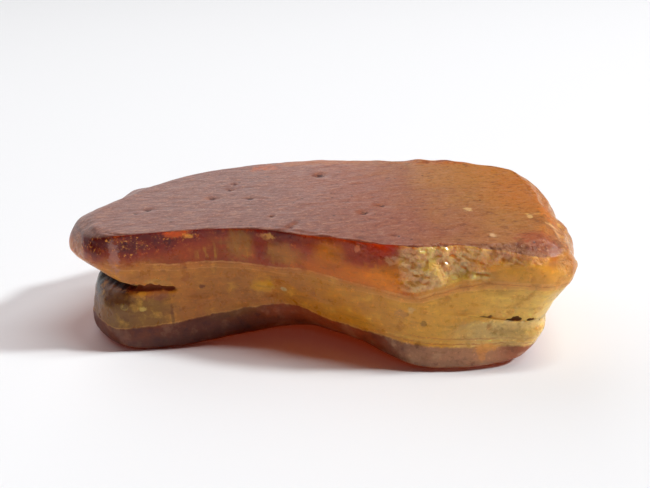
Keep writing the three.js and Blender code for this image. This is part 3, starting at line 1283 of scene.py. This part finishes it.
@dataclass(frozen=True)
class StoneFinish:
    """Layered waxy chalcedony: its colours from the top skin down to the base skin.

    Attributes:
        front_gain: how much the side's colours are lifted, as less light falls on them than on the top.
        front_most: the most that a lifted colour may be.
        shine: what the skin's shine adds to a colour.
        end_tint: what the right end's colours are multiplied by, as the key light is near it.
        end_from: where along the stone that tint sets in.
        subsurface: how much of the light goes through the skin.
        subsurface_reach: how far it goes there, in metres.
        glow: the tint of the light that passes right through the stone.
        glow_share: how much of the light that is.
        side_marks_and_highlights: patches on the side: marks of the stone's own colour, and painted
            highlights, painted sheen and painted glow.
        crevice_flecks: patches in the crevice.
        top_marks_and_glints: patches on the top: marks of the stone's own colour, and pale gold crumbs at the
            right rim with painted glints.
    """

    front_gain: float = 1.9
    front_most: float = 0.9
    shine: float = 0.022
    end_tint: Point = (0.62, 0.56, 0.55)
    end_from: tuple[float, float] = (30, 36)
    subsurface: float = 0.5
    subsurface_reach: float = 0.002
    glow: Colour = (1.0, 0.33, 0.15, 1.0)
    glow_share: float = 0.34
    side_marks_and_highlights: tuple[Fleck, ...] = (
        # an orange red window under the rim: its own colour, painted bright as glow of light through the
        # stone
        Fleck(-21.0, 18.9, 1.8, 0.6, (190, 88, 30), 0.7),
        Fleck(-19.8, 18.5, 0.8, 0.4, (232, 160, 66)),
        # painted reflection: a pale pink upright sheen on the left tip
        Fleck(-30.6, 16.2, 0.8, 2.4, (166, 122, 112), 0.5),
        Fleck(-36.6, 15.6, 1.0, 2.4, (176, 116, 70), 0.5),
        Fleck(-39.2, 15.6, 2.0, 4.4, (180, 112, 60), 0.6, 2.0),
        Fleck(-8.4, 18.3, 1.2, 0.5, (212, 156, 84)),
        # amber and deep red windows: their own colour, painted bright and saturated as glow of light through
        # the stone
        Fleck(0.6, 16.9, 2.6, 1.9, (180, 108, 42), 0.8, 2.5),
        Fleck(7.4, 18.6, 3.2, 1.4, (158, 56, 20), 0.7, 2.0),
        Fleck(4.4, 17.4, 2.0, 2.4, (138, 58, 32), 0.7, 2.0),
        # an orange window: its own colour, painted bright as glow of light through the stone
        Fleck(8.6, 14.4, 3.6, 2.3, (216, 128, 0), 0.9, 2.5),
        Fleck(4.6, 14.4, 3.4, 1.8, (188, 108, 40), 0.6, 2.5),
        # painted highlight: a pale fleck where a glint falls on a small face left of the nose
        Fleck(9.0, 17.0, 0.9, 0.6, (200, 150, 104), 0.6),
        # amber windows at the right: their own colour, painted bright as glow of light through the stone
        Fleck(21.7, 16.3, 2.4, 1.2, (196, 126, 26), 0.8, 1.6),
        Fleck(26.0, 15.8, 4.6, 1.9, (186, 132, 54), 0.6, 2.5),
        Fleck(27.9, 17.9, 0.9, 0.6, (238, 170, 84)),
        # painted highlights: pale gold flecks where glints fall on the nose, and on a glassy chip to its left
        Fleck(18.7, 15.8, 0.45, 0.8, (250, 210, 130), 0.7),
        Fleck(21.2, 14.8, 1.5, 0.6, (240, 196, 110), 0.6),
        Fleck(17.6, 14.9, 1.4, 0.5, (236, 196, 104), 0.6),
        Fleck(13.6, 18.7, 1.1, 0.5, (244, 214, 130), 0.8),
        Fleck(14.4, 17.6, 0.7, 0.6, (240, 200, 110), 0.7),
        Fleck(4.4, 18.2, 0.5, 0.6, (206, 130, 90), 0.6),
        Fleck(-9.4, 9.8, 2.0, 1.1, (186, 136, 46), 0.7, 2.0),
        Fleck(-12.3, 16.8, 2.6, 2.6, (150, 104, 52), 0.6, 2.0),
        Fleck(-6.0, 15.8, 3.0, 1.8, (152, 102, 52), 0.6, 2.0),
        Fleck(-9.4, 17.2, 1.2, 2.0, (128, 50, 18), 0.6, 1.6),
        Fleck(-6.4, 9.5, 0.5, 0.3, (170, 156, 118), 0.6),
        Fleck(-18.6, 10.0, 0.4, 0.3, (96, 56, 34), 0.6),
        Fleck(13.3, 7.6, 0.4, 0.4, (110, 78, 46), 0.5),
        Fleck(10.2, 8.8, 0.9, 0.7, (140, 96, 66), 0.5),
        Fleck(11.6, 9.6, 0.5, 0.4, (216, 180, 126), 0.6),
        Fleck(-30.4, 7.5, 0.6, 0.5, (166, 138, 74), 0.7),
        Fleck(-27.6, 7.2, 0.7, 0.4, (170, 142, 78), 0.7),
        Fleck(-26.4, 9.5, 0.6, 0.4, (190, 124, 48), 0.6),
        Fleck(-23.3, 5.8, 0.25, 2.2, (76, 48, 32), 0.45),
        Fleck(-25.6, 9.4, 2.6, 0.9, (120, 72, 54), 0.6),
        Fleck(-25.0, 11.5, 2.0, 0.7, (152, 112, 60), 0.7),
        Fleck(-27.4, 9.6, 0.6, 0.8, (168, 118, 52), 0.7),
        Fleck(-31.6, 8.6, 2.6, 1.2, (92, 58, 36), 0.7),
        Fleck(-36.6, 8.8, 2.4, 4.0, (66, 46, 30), 0.8, 2.0),
        Fleck(22.2, 3.5, 1.6, 0.7, (186, 132, 76), 0.7),
        Fleck(21.5, 2.5, 0.7, 1.0, (178, 124, 74), 0.6),
        Fleck(28.6, 6.4, 1.2, 0.5, (226, 186, 116), 0.7),
        Fleck(24.8, 7.2, 0.8, 0.4, (226, 190, 120), 0.7),
        Fleck(27.2, 5.4, 3.4, 0.8, (160, 130, 74), 0.4),
    )
    crevice_flecks: tuple[Fleck, ...] = (
        Fleck(-35.8, 9.8, 1.6, 2.0, (44, 36, 32), 0.9),
        Fleck(-31.4, 10.5, 3.0, 0.9, (50, 38, 30), 0.85),
    )
    top_marks_and_glints: tuple[Fleck, ...] = (
        Fleck(-9.5, 16.9, 2.4, 1.6, (182, 88, 34), 0.7),
        Fleck(0.0, 19.0, 9.0, 1.6, (176, 104, 50), 0.5),
        Fleck(31.0, 0.0, 7.0, 9.0, (184, 102, 36), 0.5, 2.5),
        Fleck(15.6, 17.8, 5.4, 1.3, (172, 100, 44), 0.9),
        Fleck(15.6, 18.0, 4.8, 0.6, (132, 62, 26), 0.9),
        Fleck(22.8, 16.2, 6.4, 1.3, (178, 98, 32), 0.9),
        Fleck(22.6, 16.5, 6.0, 0.6, (136, 66, 24), 0.9),
        # pale gold crumbs along the right rim, their palest parts painted glints
        Fleck(31.3, -7.9, 1.8, 0.3, (222, 166, 96), 0.7),
        Fleck(33.5, -8.9, 0.8, 0.8, (232, 178, 92), 0.8),
        Fleck(32.4, -11.0, 1.0, 0.35, (244, 204, 140), 0.8),
        Fleck(32.9, -12.5, 0.7, 0.7, (226, 164, 84), 0.8),
        Fleck(21.4, -5.6, 0.6, 0.7, (236, 196, 130), 0.6),
        Fleck(23.1, -14.6, 0.5, 0.6, (236, 200, 150), 0.6),
        # a pale gold crumb at the right rim, with a painted glint
        Fleck(29.7, -8.6, 0.5, 0.9, (232, 190, 124), 0.6),
        Fleck(30.5, -13.6, 1.0, 1.6, (206, 130, 60), 0.6),
        Fleck(32.6, -8.0, 1.2, 3.4, (202, 116, 40), 0.8),
        Fleck(29.0, -16.0, 3.0, 2.2, (160, 76, 50), 0.6),
    )

    def front(self, screen: Screen) -> Colour:
        """Gives a colour of the side: screen colour less the shine, lifted and held under the most.

        Args:
            screen: red, green and blue, each from 0 to 255.

        Returns:
            The colour in linear light, and an alpha of 1.
        """
        lit = np.maximum(np.array(srgb(screen)[:3]) - self.shine, 0.001) * self.front_gain
        return (*(float(part) for part in lit * min(1.0, self.front_most / lit.max())), 1.0)

    def material(self, middle: np.ndarray, pits: Sequence[Pit]) -> bpy.types.Material:
        """Builds the stone's material on object coordinates and the net's fields.

        Args:
            middle: where the frame's origin lies in the stations' own measures, in mm.
            pits: the pits of the top.

        Returns:
            The material.
        """
        material = new_material("pork_stone")
        g = Graph(material.node_tree)
        at = Reading(g, middle)
        edge = (at.top + (at.fine - 0.5) * 0.7 + (at.mid - 0.5) * 0.4).rise(0.2, 0.8)
        flat = g.attribute("flat") * (1 - edge)
        glaze = at.chipped.rise(0.3, 0.8) * (1 - edge) * (1 - at.x.rise(22, 28) * 0.6)
        shader = g.node("ShaderNodeBsdfPrincipled", {}, {
            "Base Color": g.mix(edge, self.side(at), self.top(at, pits)),
            "Roughness": self.roughness(at, edge, flat),
            "Normal": self.bump(at, edge, flat),
            "IOR": 1.54,
            "Specular IOR Level": 0.3,
            "Coat Weight": glaze.most(flat),
            "Coat Roughness": 0.2,
            "Subsurface Weight": self.subsurface,
            "Subsurface Radius": (1.0, 0.5, 0.25),
            "Subsurface Scale": self.subsurface_reach,
        })
        ray = Value(g, g.node("ShaderNodeLightPath", {}, {}).outputs["Is Shadow Ray"])
        glow = g.node("ShaderNodeBsdfTransparent", {}, {"Color": self.glow})
        shaders = {0: ray * self.glow_share, 1: shader.outputs[0], 2: glow.outputs[0]}
        mixed = g.node("ShaderNodeMixShader", {}, shaders)
        g.node("ShaderNodeOutputMaterial", {}, {"Surface": mixed.outputs[0]})
        return material

    def bump(self, at: Reading, edge: Value, flat: Value) -> bpy.types.NodeSocket:
        """Raises the wrinkles, the layers and the grit; the glassy faces stay nearly smooth.

        Args:
            at: what the material reads.
            edge: 1 on the top skin, with a ragged edge.
            flat: 1 on the glassy faces.

        Returns:
            The bumped normal.
        """
        height = at.wrinkle * 0.14 * edge + (at.fine * 0.10 + at.layered * 0.06) * (1 - edge)
        height = height + at.grit * (0.03 + 0.06 * at.cleft + 0.05 * at.chipped)
        height = (height - abs(at.fine - 0.5) * at.chipped * 0.9) * (1 - flat * 0.9)
        sockets = {"Strength": 0.8, "Distance": METRES, "Height": height}
        return at.graph.node("ShaderNodeBump", {}, sockets).outputs[0]

    def roughness(self, at: Reading, edge: Value, flat: Value) -> Value:
        """Sums the skin's dullness: waxy sides, duller top, base and crevice, and shiny broken faces.

        Args:
            at: what the material reads.
            edge: 1 on the top skin, with a ragged edge.
            flat: 1 on the glassy faces.

        Returns:
            The roughness.
        """
        rough = 0.30 + (at.mid - 0.5) * 0.3 + edge * 0.10 - at.chipped * 0.10
        rough = rough + at.cleft * 0.5 - flat * 0.12
        return rough + at.above_base.rise(0.1, -0.1) * 0.12 * (1 - edge)

    def side(self, at: Reading) -> Paint:
        """Paints the side: the layers from the body outwards, then broken stone, flecks and hollows.

        Args:
            at: what the material reads.

        Returns:
            The painted colour.
        """
        g = at.graph
        front_side = at.y.rise(0, -4) * (1 - at.top)
        colour = g.mix(at.above_pale.rise(-0.5, 0.4), self.body(at), self.band(at))
        colour = self.strata(at, colour)
        colour = g.mix(at.above_base.rise(0.2, -0.2), colour, self.base(at))
        colour = self.broken(at, self.skin(at, colour))
        colour = self.flecked(at, colour, self.side_marks_and_highlights, at.z, front_side, self.front)
        colour = self.hollows(at, self.mottled_with_sparkles(at, colour))
        # painted shade: the right end's colours are darkened, as the key light falls strongly there
        return g.mix(at.x.rise(*self.end_from), colour, g.scaled(colour, self.end_tint))

    def flecked(
        self,
        at: Reading,
        under: Paint,
        flecks: Sequence[Fleck],
        across: Value,
        where: Value | float,
        shade: Callable[[Screen], Colour],
    ) -> Paint:
        """Paints flecks over a colour: each is an ellipse whose edge a noise makes ragged.

        Args:
            at: what the material reads.
            under: the colour below.
            flecks: the patches to paint.
            across: how far across the face that the flecks are on.
            where: 1 on that face and 0 elsewhere.
            shade: turns a screen colour into the face's own.

        Returns:
            The painted colour.
        """
        g = at.graph
        for fleck in flecks:
            offset = g.node("ShaderNodeCombineXYZ", {}, {
                0: (at.x - fleck.x) / fleck.wide,
                1: (across - fleck.across) / fleck.high,
            }).outputs[0]
            edge = g.measure("LENGTH", offset) + at.ragged * (1 / fleck.soft)
            inside = edge.rise(1.25, 0.75 - 0.15 * fleck.soft) * fleck.strength
            under = g.mix(inside * where, under, shade(fleck.colour))
        return under

    def mottled_with_sparkles(self, at: Reading, under: Paint) -> Paint:
        """Tints a colour lighter and darker by four noises, one of them drawn out along the layers; the
        palest, bluish tint paints tiny sparkles of light.

        Args:
            at: what the material reads.
            under: the colour below.

        Returns:
            The tinted colour.
        """
        tints = (
            (at.mid.rise(0.55, 0.72) * 0.5, (1.16, 1.26, 1.20)),
            (at.mid.rise(0.45, 0.30) * 0.5, (0.86, 0.74, 0.62)),
            (at.layered.rise(0.53, 0.70) * 0.55, (1.30, 1.36, 1.30)),
            (at.layered.rise(0.47, 0.32) * 0.55, (0.72, 0.64, 0.52)),
            (at.fine.rise(0.56, 0.70) * 0.45, (1.40, 1.46, 1.40)),
            (at.fine.rise(0.44, 0.30) * 0.45, (0.62, 0.52, 0.40)),
            # painted highlights: tiny pale bluish sparkles on the grit noise
            (at.grit.rise(0.60, 0.70) * 0.5, (1.60, 1.70, 1.90)),
            (at.grit.rise(0.40, 0.30) * 0.35, (0.58, 0.52, 0.46)),
        )
        for factor, tint in tints:
            under = at.graph.mix(factor, under, at.graph.scaled(under, tint))
        return under

    def body(self, at: Reading) -> Paint:
        """Paints the golden body, olive in the left lobe and yellow at the right, with soft clouds.

        Args:
            at: what the material reads.

        Returns:
            The body's colour.
        """
        along, mid = at.along, at.mid
        lobe = along.rise(-20.5, -25.5) * (at.z + (mid - 0.5) * 3).rise(10.4, 8.4)
        block = along.rise(16, 21) * (at.z + (at.fine - 0.5) * 1.2).rise(7.8, 7.0)
        return at.graph.paint(
            self.front,
            self.front((152, 98, 50)),
            (along.rise(-8, 4), (164, 110, 48)),
            (along.rise(4, 16), (184, 136, 62)),
            (along.rise(18, 30), (196, 158, 84)),
            (lobe, (114, 80, 46)),
            (block, (184, 154, 96)),
            (mid.rise(0.52, 0.75) * 0.4, (190, 142, 66)),
            (mid.rise(0.46, 0.28) * 0.4, (140, 84, 38)),
        )

    def band(self, at: Reading) -> Paint:
        """Paints the layer between the pale line and the dark skin, with its upright streaks.

        Args:
            at: what the material reads.

        Returns:
            The layer's colour.
        """
        along, above, mid = at.along, at.above_pale, at.mid
        streak = at.graph.noise(at.graph.scaled(at.mm, (1, 1, 0.2)), 1.1, 3, 0.5)
        streaked = along.between(-19, -6, 2) * above.rise(0.2, 1.2)
        return at.graph.paint(
            self.front,
            self.front((130, 66, 26)),
            (above.rise(1.8, 0.2) * along.rise(-22, -28) * 0.8, (158, 102, 54)),
            (along.rise(-23, -18), (134, 65, 26)),
            (streaked * streak.rise(0.50, 0.60) * 0.8, (154, 106, 50)),
            (streaked * streak.rise(0.46, 0.36) * 0.6, (122, 52, 16)),
            (along.between(-8, -4, 2) * above.rise(0.6, 1.4) * 0.6, (150, 98, 48)),
            (along.rise(-9, 0), (164, 90, 38)),
            (along.rise(10, 15), (180, 126, 62)),
            (along.rise(22, 27), (182, 130, 64)),
            (mid.rise(0.55, 0.75) * 0.3, (178, 122, 60)),
            (mid.rise(0.42, 0.28) * 0.3, (116, 52, 32)),
        )

    def strata(self, at: Reading, under: Paint) -> Paint:
        """Draws the thin lines: pale ones along the pale line, and red and yellow ones over the base.

        Args:
            at: what the material reads.
            under: the colour below.

        Returns:
            The painted colour.
        """
        pale, base = at.above_pale, at.above_base
        right, clear = at.along.rise(2, 14), at.mid.rise(0.30, 0.60)
        return at.graph.paint(
            self.front,
            under,
            (pale.between(-0.9, 0.0, 0.2) * (0.15 + 0.3 * right), (176, 112, 68)),
            (pale.line(0.05, 0.19) * clear * (0.5 + 0.15 * right), (204, 152, 92)),
            (pale.line(-0.30, 0.13) * clear * right * 0.5, (146, 76, 48)),
            (pale.line(-0.90, 0.15) * clear * (0.35 + 0.2 * right), (204, 150, 88)),
            (pale.line(-1.20, 0.13) * clear * right * 0.35, (150, 84, 48)),
            (base.line(1.3, 0.15) * clear * right * 0.5, (160, 92, 54)),
            (base.line(0.85, 0.2) * right * 0.5, (206, 160, 80)),
            (base.line(0.45, 0.14) * clear * right * 0.6, (150, 78, 46)),
            (base.line(0.05, 0.17) * clear * 0.55, (182, 132, 74)),
        )

    def base(self, at: Reading) -> Paint:
        """Paints the skin under the base line: grey brown, then red in the arch, then pink grey.

        Args:
            at: what the material reads.

        Returns:
            The base's colour.
        """
        along, above, mid = at.along, at.above_base, at.mid
        return at.graph.paint(
            self.front,
            self.front((90, 52, 24)),
            (along.between(-17, -6, 3) * above.rise(-2.0, 0.0) * 0.7, (110, 74, 42)),
            (along.between(-10, 8, 4), (120, 62, 44)),
            (along.rise(7, 14), (150, 108, 82)),
            (along.rise(22, 27), (134, 82, 60)),
            (mid.rise(0.5, 0.66) * (0.15 + 0.35 * along.rise(7, 14)), (156, 120, 96)),
            (mid.rise(0.46, 0.3) * 0.5, (66, 34, 24)),
            (above.rise(-1.6, -3.2) * 0.45, (58, 34, 30)),
        )

    def skin(self, at: Reading, under: Paint) -> Paint:
        """Paints the dark skin round the rim: maroon with gold specks, grains of their own colour and painted
        glints of small fractures, over a red brown scalloped edge.

        Args:
            at: what the material reads.
            under: the colour below.

        Returns:
            The painted colour.
        """
        g, along, fine, grit = at.graph, at.along, at.fine, at.grit
        scallop = g.noise(g.scaled(at.mm, (1, 1, 0.4)), 2.4, 3, 0.5)
        level = g.attribute("above_skin") + (scallop - 0.5) * 3.6
        dark = 1 - along.between(11, 29, 2)
        gold = level.rise(-0.4, 0.8) * scallop.rise(0.38, 0.56) * (along.rise(-12, -17) + 0.25) * dark
        return g.paint(
            self.front,
            under,
            (level.rise(-2.4, -0.2) * 0.6 * dark, (138, 62, 22)),
            (level.rise(-1.0, 0.6) * 0.8 * dark, (112, 46, 12)),
            (level.rise(0.0, 1.6) * 0.8 * dark, (84, 34, 8)),
            (along.between(-4, 10, 2) * level.rise(-1.0, 0.6) * 0.7, (152, 66, 20)),
            (level.rise(-0.3, 0.8) * fine.rise(0.52, 0.68) * dark * 0.5, (150, 72, 36)),
            # gold specks: grains of their own colour, and painted glints of small fractures under the skin
            (gold * grit.rise(0.54, 0.64) * fine.rise(0.42, 0.54) * 0.8, (206, 138, 64)),
            (gold * grit.rise(0.42, 0.35) * 0.5, (58, 26, 22)),
        )

    def broken(self, at: Reading, under: Paint) -> Paint:
        """Paints broken stone: gold with painted highlights on the crests and painted shade in the creases,
        mauve on the lip, orange at the end.

        Args:
            at: what the material reads.
            under: the colour below.

        Returns:
            The painted colour.
        """
        g, x, mid, grit = at.graph, at.x, at.mid, at.grit
        crest = g.attribute("crest") + (grit - 0.5) * 0.12
        open_face = at.chipped.rise(0.1, 0.7) * x.rise(8, 11)
        lip, end = x.between(22.5, 30, 1.0), x.rise(30, 33)
        return g.paint(
            self.front,
            under,
            (open_face * 0.8, (212, 164, 94)),
            (open_face * mid.rise(0.50, 0.66) * 0.6, (212, 168, 72)),
            (open_face * mid.rise(0.46, 0.34) * 0.4, (172, 108, 64)),
            (open_face * lip * 0.8, (166, 108, 74)),
            (open_face * end * 0.8, (172, 116, 58)),
            (open_face * end * grit.rise(0.52, 0.62) * 0.7, (216, 154, 78)),
            # painted highlights on the raised crests and painted shade in the creases, by the relief's crest
            # height
            (open_face * crest.rise(0.0, 0.22) * 0.5, (228, 190, 124)),
            (open_face * crest.rise(-0.14, -0.32) * 0.4, (154, 94, 46)),
        )

    def hollows(self, at: Reading, under: Paint) -> Paint:
        """Paints the crevice black with grey grains at the left end, and red brown further in.

        The right crack is brown.

        Args:
            at: what the material reads.
            under: the colour below.

        Returns:
            The painted colour.
        """
        g, x = at.graph, at.x
        deep, in_front = at.cleft.rise(0.25, 0.6), at.y.rise(5, 3)
        end = deep * x.rise(-29, -32.5)
        grains = x.rise(-30, -32) * (at.z + at.ragged * 0.3).between(9.0, 11.6, 0.4) * in_front
        under = g.paint(
            self.front,
            under,
            (deep, (100, 56, 40)),
            (end, (58, 46, 36)),
            (deep * x.rise(10, 14), (88, 60, 32)),
        )
        under = self.flecked(at, under, self.crevice_flecks, at.z, in_front, self.front)
        return g.mix(end.most(grains) * at.grit.rise(0.55, 0.64) * 0.5, under, self.front((98, 82, 66)))

    def top(self, at: Reading, pits: Sequence[Pit]) -> Paint:
        """Paints the top skin: mauve brown at the left, orange gold at the right, wrinkled and pitted.

        Args:
            at: what the material reads.
            pits: the pits of the top.

        Returns:
            The top's colour.
        """
        g, x, y, grit, wrinkle = at.graph, at.x, at.y, at.grit, at.wrinkle
        along = x + (g.noise(at.mm, 9.0, 4, 0.6) - 0.5) * 18 + (at.broad - 0.5) * 10 + y * 0.25
        corner = (x - y * 0.8 + (at.broad - 0.5) * 12).rise(32, 44)
        crumbled = at.chipped.rise(0.2, 0.7) * x.rise(28, 32)
        colour = g.paint(
            srgb,
            srgb((124, 76, 64)),
            (along.rise(-12, 10), (142, 80, 58)),
            (along.rise(6, 28), (170, 114, 56)),
            ((along + y * 0.3).rise(20, 38), (180, 112, 44)),
            (corner * 0.6, (160, 94, 62)),
            (crumbled * 0.6, (178, 112, 56)),
            (crumbled * grit.rise(0.52, 0.62) * 0.8, (228, 170, 92)),
        )
        colour = self.flecked(at, colour, self.top_marks_and_glints, y, 1.0, srgb)
        speck, pick = g.cells(at.mm, 1.5)
        return g.paint(
            srgb,
            colour,
            (wrinkle.rise(0.52, 0.68) * 0.35, (182, 126, 96)),
            (wrinkle.rise(0.48, 0.32) * 0.50, (88, 40, 30)),
            (grit.rise(0.56, 0.66) * 0.30, (196, 144, 112)),
            (grit.rise(0.44, 0.34) * 0.40, (84, 42, 32)),
            (speck.rise(0.18, 0.08) * pick.rise(0.78, 0.82) * 0.8, (62, 28, 20)),
            (self.pitted(at, pits), (70, 26, 20)),
        )

    def pitted(self, at: Reading, pits: Sequence[Pit]) -> Value:
        """Finds the pits: the most of all pits' eased distance over reach, with a gritty edge.

        Args:
            at: what the material reads.
            pits: the pits of the top.

        Returns:
            1 in the pits.
        """
        gritty = (at.grit - 0.5) * 1.5
        aparts = (at.graph.measure("DISTANCE", at.mm, pit.at) / pit.reach for pit in pits)
        return reduce(Value.most, ((apart + gritty).rise(1.0, 0.4) for apart in aparts))


@dataclass
class Stone:
    """The stone: its large form, its fine relief and its finish.

    Attributes:
        form: its large form.
        relief: its fine relief.
        finish: its colours and its shine.
        front_stations: how many stations, from the first, have the closer columns.
        front_columns: columns from one of those to the next.
        back_columns: columns from one of the others to the next.
        top_rings: rings on the top.
        under_rings: rings on the underside.
        side_rings: rings in each of the seven parts of the side.
    """

    form: Form = field(default_factory=Form)
    relief: Relief = field(default_factory=Relief)
    finish: StoneFinish = field(default_factory=StoneFinish)
    front_stations: int = 13
    front_columns: int = 30
    back_columns: int = 18
    top_rings: int = 44
    under_rings: int = 14
    side_rings: tuple[int, ...] = (8, 8, 20, 26, 18, 16, 8)

    def build(self) -> bpy.types.Object:
        """Makes the stone's mesh in the row's frame, paints it and ties it to the frame.

        Returns:
            The stone.
        """
        counts = [
            self.front_columns if i < self.front_stations else self.back_columns
            for i in range(len(STATIONS))
        ]
        places = np.concatenate([i + np.arange(n) / n for i, n in enumerate(counts)])
        steps = [np.arange(n) / n for n in self.side_rings]
        net = self.form.net(places, (self.top_rings, self.under_rings), steps)
        net = self.relief.carve(net)
        middle = self.form.middle()
        origin = np.zeros(1)
        poles = np.array([
            (0, 0, self.form.top_at(origin, origin)[0]),
            (0, 0, self.form.underside_at(origin, origin)[0]),
        ]) - middle
        net.points = net.points - middle
        net.lines = net.lines - middle[2]
        piece = make_mesh("stone", net, poles)
        piece.data.materials.append(self.finish.material(middle, self.relief.pits))
        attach(piece, "root")
        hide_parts("pork_stone")
        return piece


def turned_to(across: np.ndarray, above: np.ndarray, back: np.ndarray, place: np.ndarray) -> Matrix:
    """Gives the matrix whose columns are three directions and a place, over a row of 0, 0, 0 and 1.

    Args:
        across: where the object's own X axis points.
        above: where its Y axis points.
        back: where its Z axis points, away from what it looks at.
        place: where it is, in metres.

    Returns:
        The matrix for the object.
    """
    matrix = np.eye(4)
    matrix[:3] = np.stack([across, above, back, place], 1)
    return Matrix(matrix.tolist())


@dataclass(frozen=True)
class Studio:
    """The pale floor, the soft light and the camera.

    Attributes:
        floor_side: the floor's side, in metres.
        floor_colour: its screen colour.
        eye: the camera's place in the stations' own measures, in mm.
        pitch_degrees: how far the camera looks down.
        roll_degrees: how far it is turned about its own axis.
        lens: its focal length, in mm, for a sensor 36 mm wide.
        key_strength: the key light's strength.
        key_softness_degrees: how wide it looks.
        key_from: the way to it.
        window_power: the window's power, in watts.
        window_from: the way to it.
        window_size: its width and its height, in metres.
        window_distance: how far off it is, in metres.
        glint_strength: the strength of the weak lamp in front.
        glint_softness_degrees: how wide it looks.
        glint_from: the way to it.
        sky_strength: how bright the whole sky is.
        sky_patch: how bright its patch is.
        sky_edges: the patch's edges, each a direction and how near to it the patch sets in and is full.
    """

    floor_side: float = 3.0
    floor_colour: Screen = (236, 236, 238)
    eye: Point = (0.0, -114.89, 64.39)
    pitch_degrees: float = 24.42
    roll_degrees: float = 2.25
    lens: float = 44.31
    key_strength: float = 2.3
    key_softness_degrees: float = 6.0
    key_from: Point = (1.0, -0.06, 0.80)
    window_power: float = 5.3
    window_from: Point = (0.38, 0.03, 0.925)
    window_size: tuple[float, float] = (0.07, 0.70)
    window_distance: float = 1.0
    glint_strength: float = 0.05
    glint_softness_degrees: float = 1.0
    glint_from: Point = (0.35, -0.75, 0.60)
    sky_strength: float = 0.01
    sky_patch: float = 1.35
    sky_edges: tuple[tuple[Point, float, float], ...] = (
        ((-0.35, 0.88, 0.32), 0.50, 0.80),
        ((-1.0, 0.09, 0.0), -0.08, 0.08),
    )

    def floor(self) -> bpy.types.Object:
        """Lays a square pale floor at the stone's foot.

        Returns:
            The floor.
        """
        half = self.floor_side / 2
        corners = [(-half, -half, 0), (half, -half, 0), (half, half, 0), (-half, half, 0)]
        mesh = bpy.data.meshes.new("floor")
        mesh.from_pydata(corners, [], [(0, 1, 2, 3)])
        floor = bpy.data.objects.new("floor", mesh)
        bpy.context.collection.objects.link(floor)
        material = new_material("pale_floor")
        g = Graph(material.node_tree)
        sockets = {"Base Color": srgb(self.floor_colour), "Roughness": 0.95}
        cloth = g.node("ShaderNodeBsdfPrincipled", {}, sockets)
        g.node("ShaderNodeOutputMaterial", {}, {"Surface": cloth.outputs[0]})
        mesh.materials.append(material)
        return floor

    def hang(self, data: bpy.types.Light, toward: Point, distance: float) -> None:
        """Hangs a lamp so that it shines at the stone.

        Args:
            data: the lamp.
            toward: the way from the stone to it.
            distance: how far off it is, in metres.
        """
        lamp = bpy.data.objects.new(data.name, data)
        back = np.array(toward) / np.linalg.norm(toward)
        side = np.cross((0, 0, 1), back)
        side /= np.linalg.norm(side)
        lamp.matrix_world = turned_to(side, np.cross(back, side), back, back * distance)
        bpy.context.collection.objects.link(lamp)

    def sun(self, name: str, strength: float, softness: float, toward: Point) -> None:
        """Hangs one distant lamp.

        Args:
            name: the lamp's name.
            strength: how strong it is.
            softness: how wide it looks, in degrees.
            toward: the way from the stone to it.
        """
        data = bpy.data.lights.new(name, "SUN")
        data.energy = strength
        data.angle = float(np.radians(softness))
        self.hang(data, toward, 1.0)

    def light(self) -> None:
        """Hangs a key light and a tall narrow window at the right, and a weak glint in front."""
        self.sun("key", self.key_strength, self.key_softness_degrees, self.key_from)
        self.sun("glint", self.glint_strength, self.glint_softness_degrees, self.glint_from)
        window = bpy.data.lights.new("window", "AREA")
        window.energy = self.window_power
        window.shape = "RECTANGLE"
        window.size, window.size_y = self.window_size
        self.hang(window, self.window_from, self.window_distance)

    def sky(self) -> None:
        """Lights the sky: a faint glow, and a patch that is the product of eased edges.

        Each edge eases the dot product of the direction looked at and the edge's own.
        """
        world = bpy.data.worlds.new("sky")
        world.use_nodes = True
        g = Graph(world.node_tree)
        place = g.node("ShaderNodeTexCoord", {}, {}).outputs["Generated"]
        patch: Value | float = self.sky_patch
        for direction, low, high in self.sky_edges:
            toward = tuple(float(c) for c in np.array(direction) / np.linalg.norm(direction))
            patch = g.measure("DOT_PRODUCT", place, toward).rise(low, high) * patch
        sockets = {"Color": (1, 1, 1, 1), "Strength": patch + self.sky_strength}
        sky = g.node("ShaderNodeBackground", {}, sockets)
        g.node("ShaderNodeOutputWorld", {}, {"Surface": sky.outputs[0]})
        bpy.context.scene.world = world

    def camera(self, middle: np.ndarray) -> bpy.types.Object:
        """Sets the camera: looking along +Y, pitched down, then rolled about its own axis.

        Args:
            middle: where the frame's origin lies in the stations' own measures, in mm.

        Returns:
            The camera.
        """
        pitch, roll = np.radians(self.pitch_degrees), np.radians(self.roll_degrees)
        forward = np.array([0, np.cos(pitch), -np.sin(pitch)])
        up = np.array([0, np.sin(pitch), np.cos(pitch)])
        right = np.array([1.0, 0, 0])
        across = np.cos(roll) * right - np.sin(roll) * up
        above = np.cos(roll) * up + np.sin(roll) * right
        data = bpy.data.cameras.new("camera")
        data.sensor_width = 36
        data.lens = self.lens
        data.clip_start = 0.005
        camera = bpy.data.objects.new("camera", data)
        place = (np.array(self.eye) - middle) * METRES
        camera.matrix_world = turned_to(across, above, -forward, place)
        bpy.context.collection.objects.link(camera)
        bpy.context.scene.camera = camera
        return camera


def main() -> None:
    logging.basicConfig(level=logging.INFO, format="%(message)s")
    stone, studio = Stone(), Studio()
    studio.camera(stone.form.middle())
    studio.light()
    studio.sky()
    LOG.info("floor: %s", studio.floor().name)
    piece = stone.build()
    LOG.info("%s: %d faces", piece.name, len(piece.data.polygons))
    view = bpy.context.scene.view_settings
    view.view_transform = "Standard"
    view.look = "None"


if __name__ == "__main__":
    main()
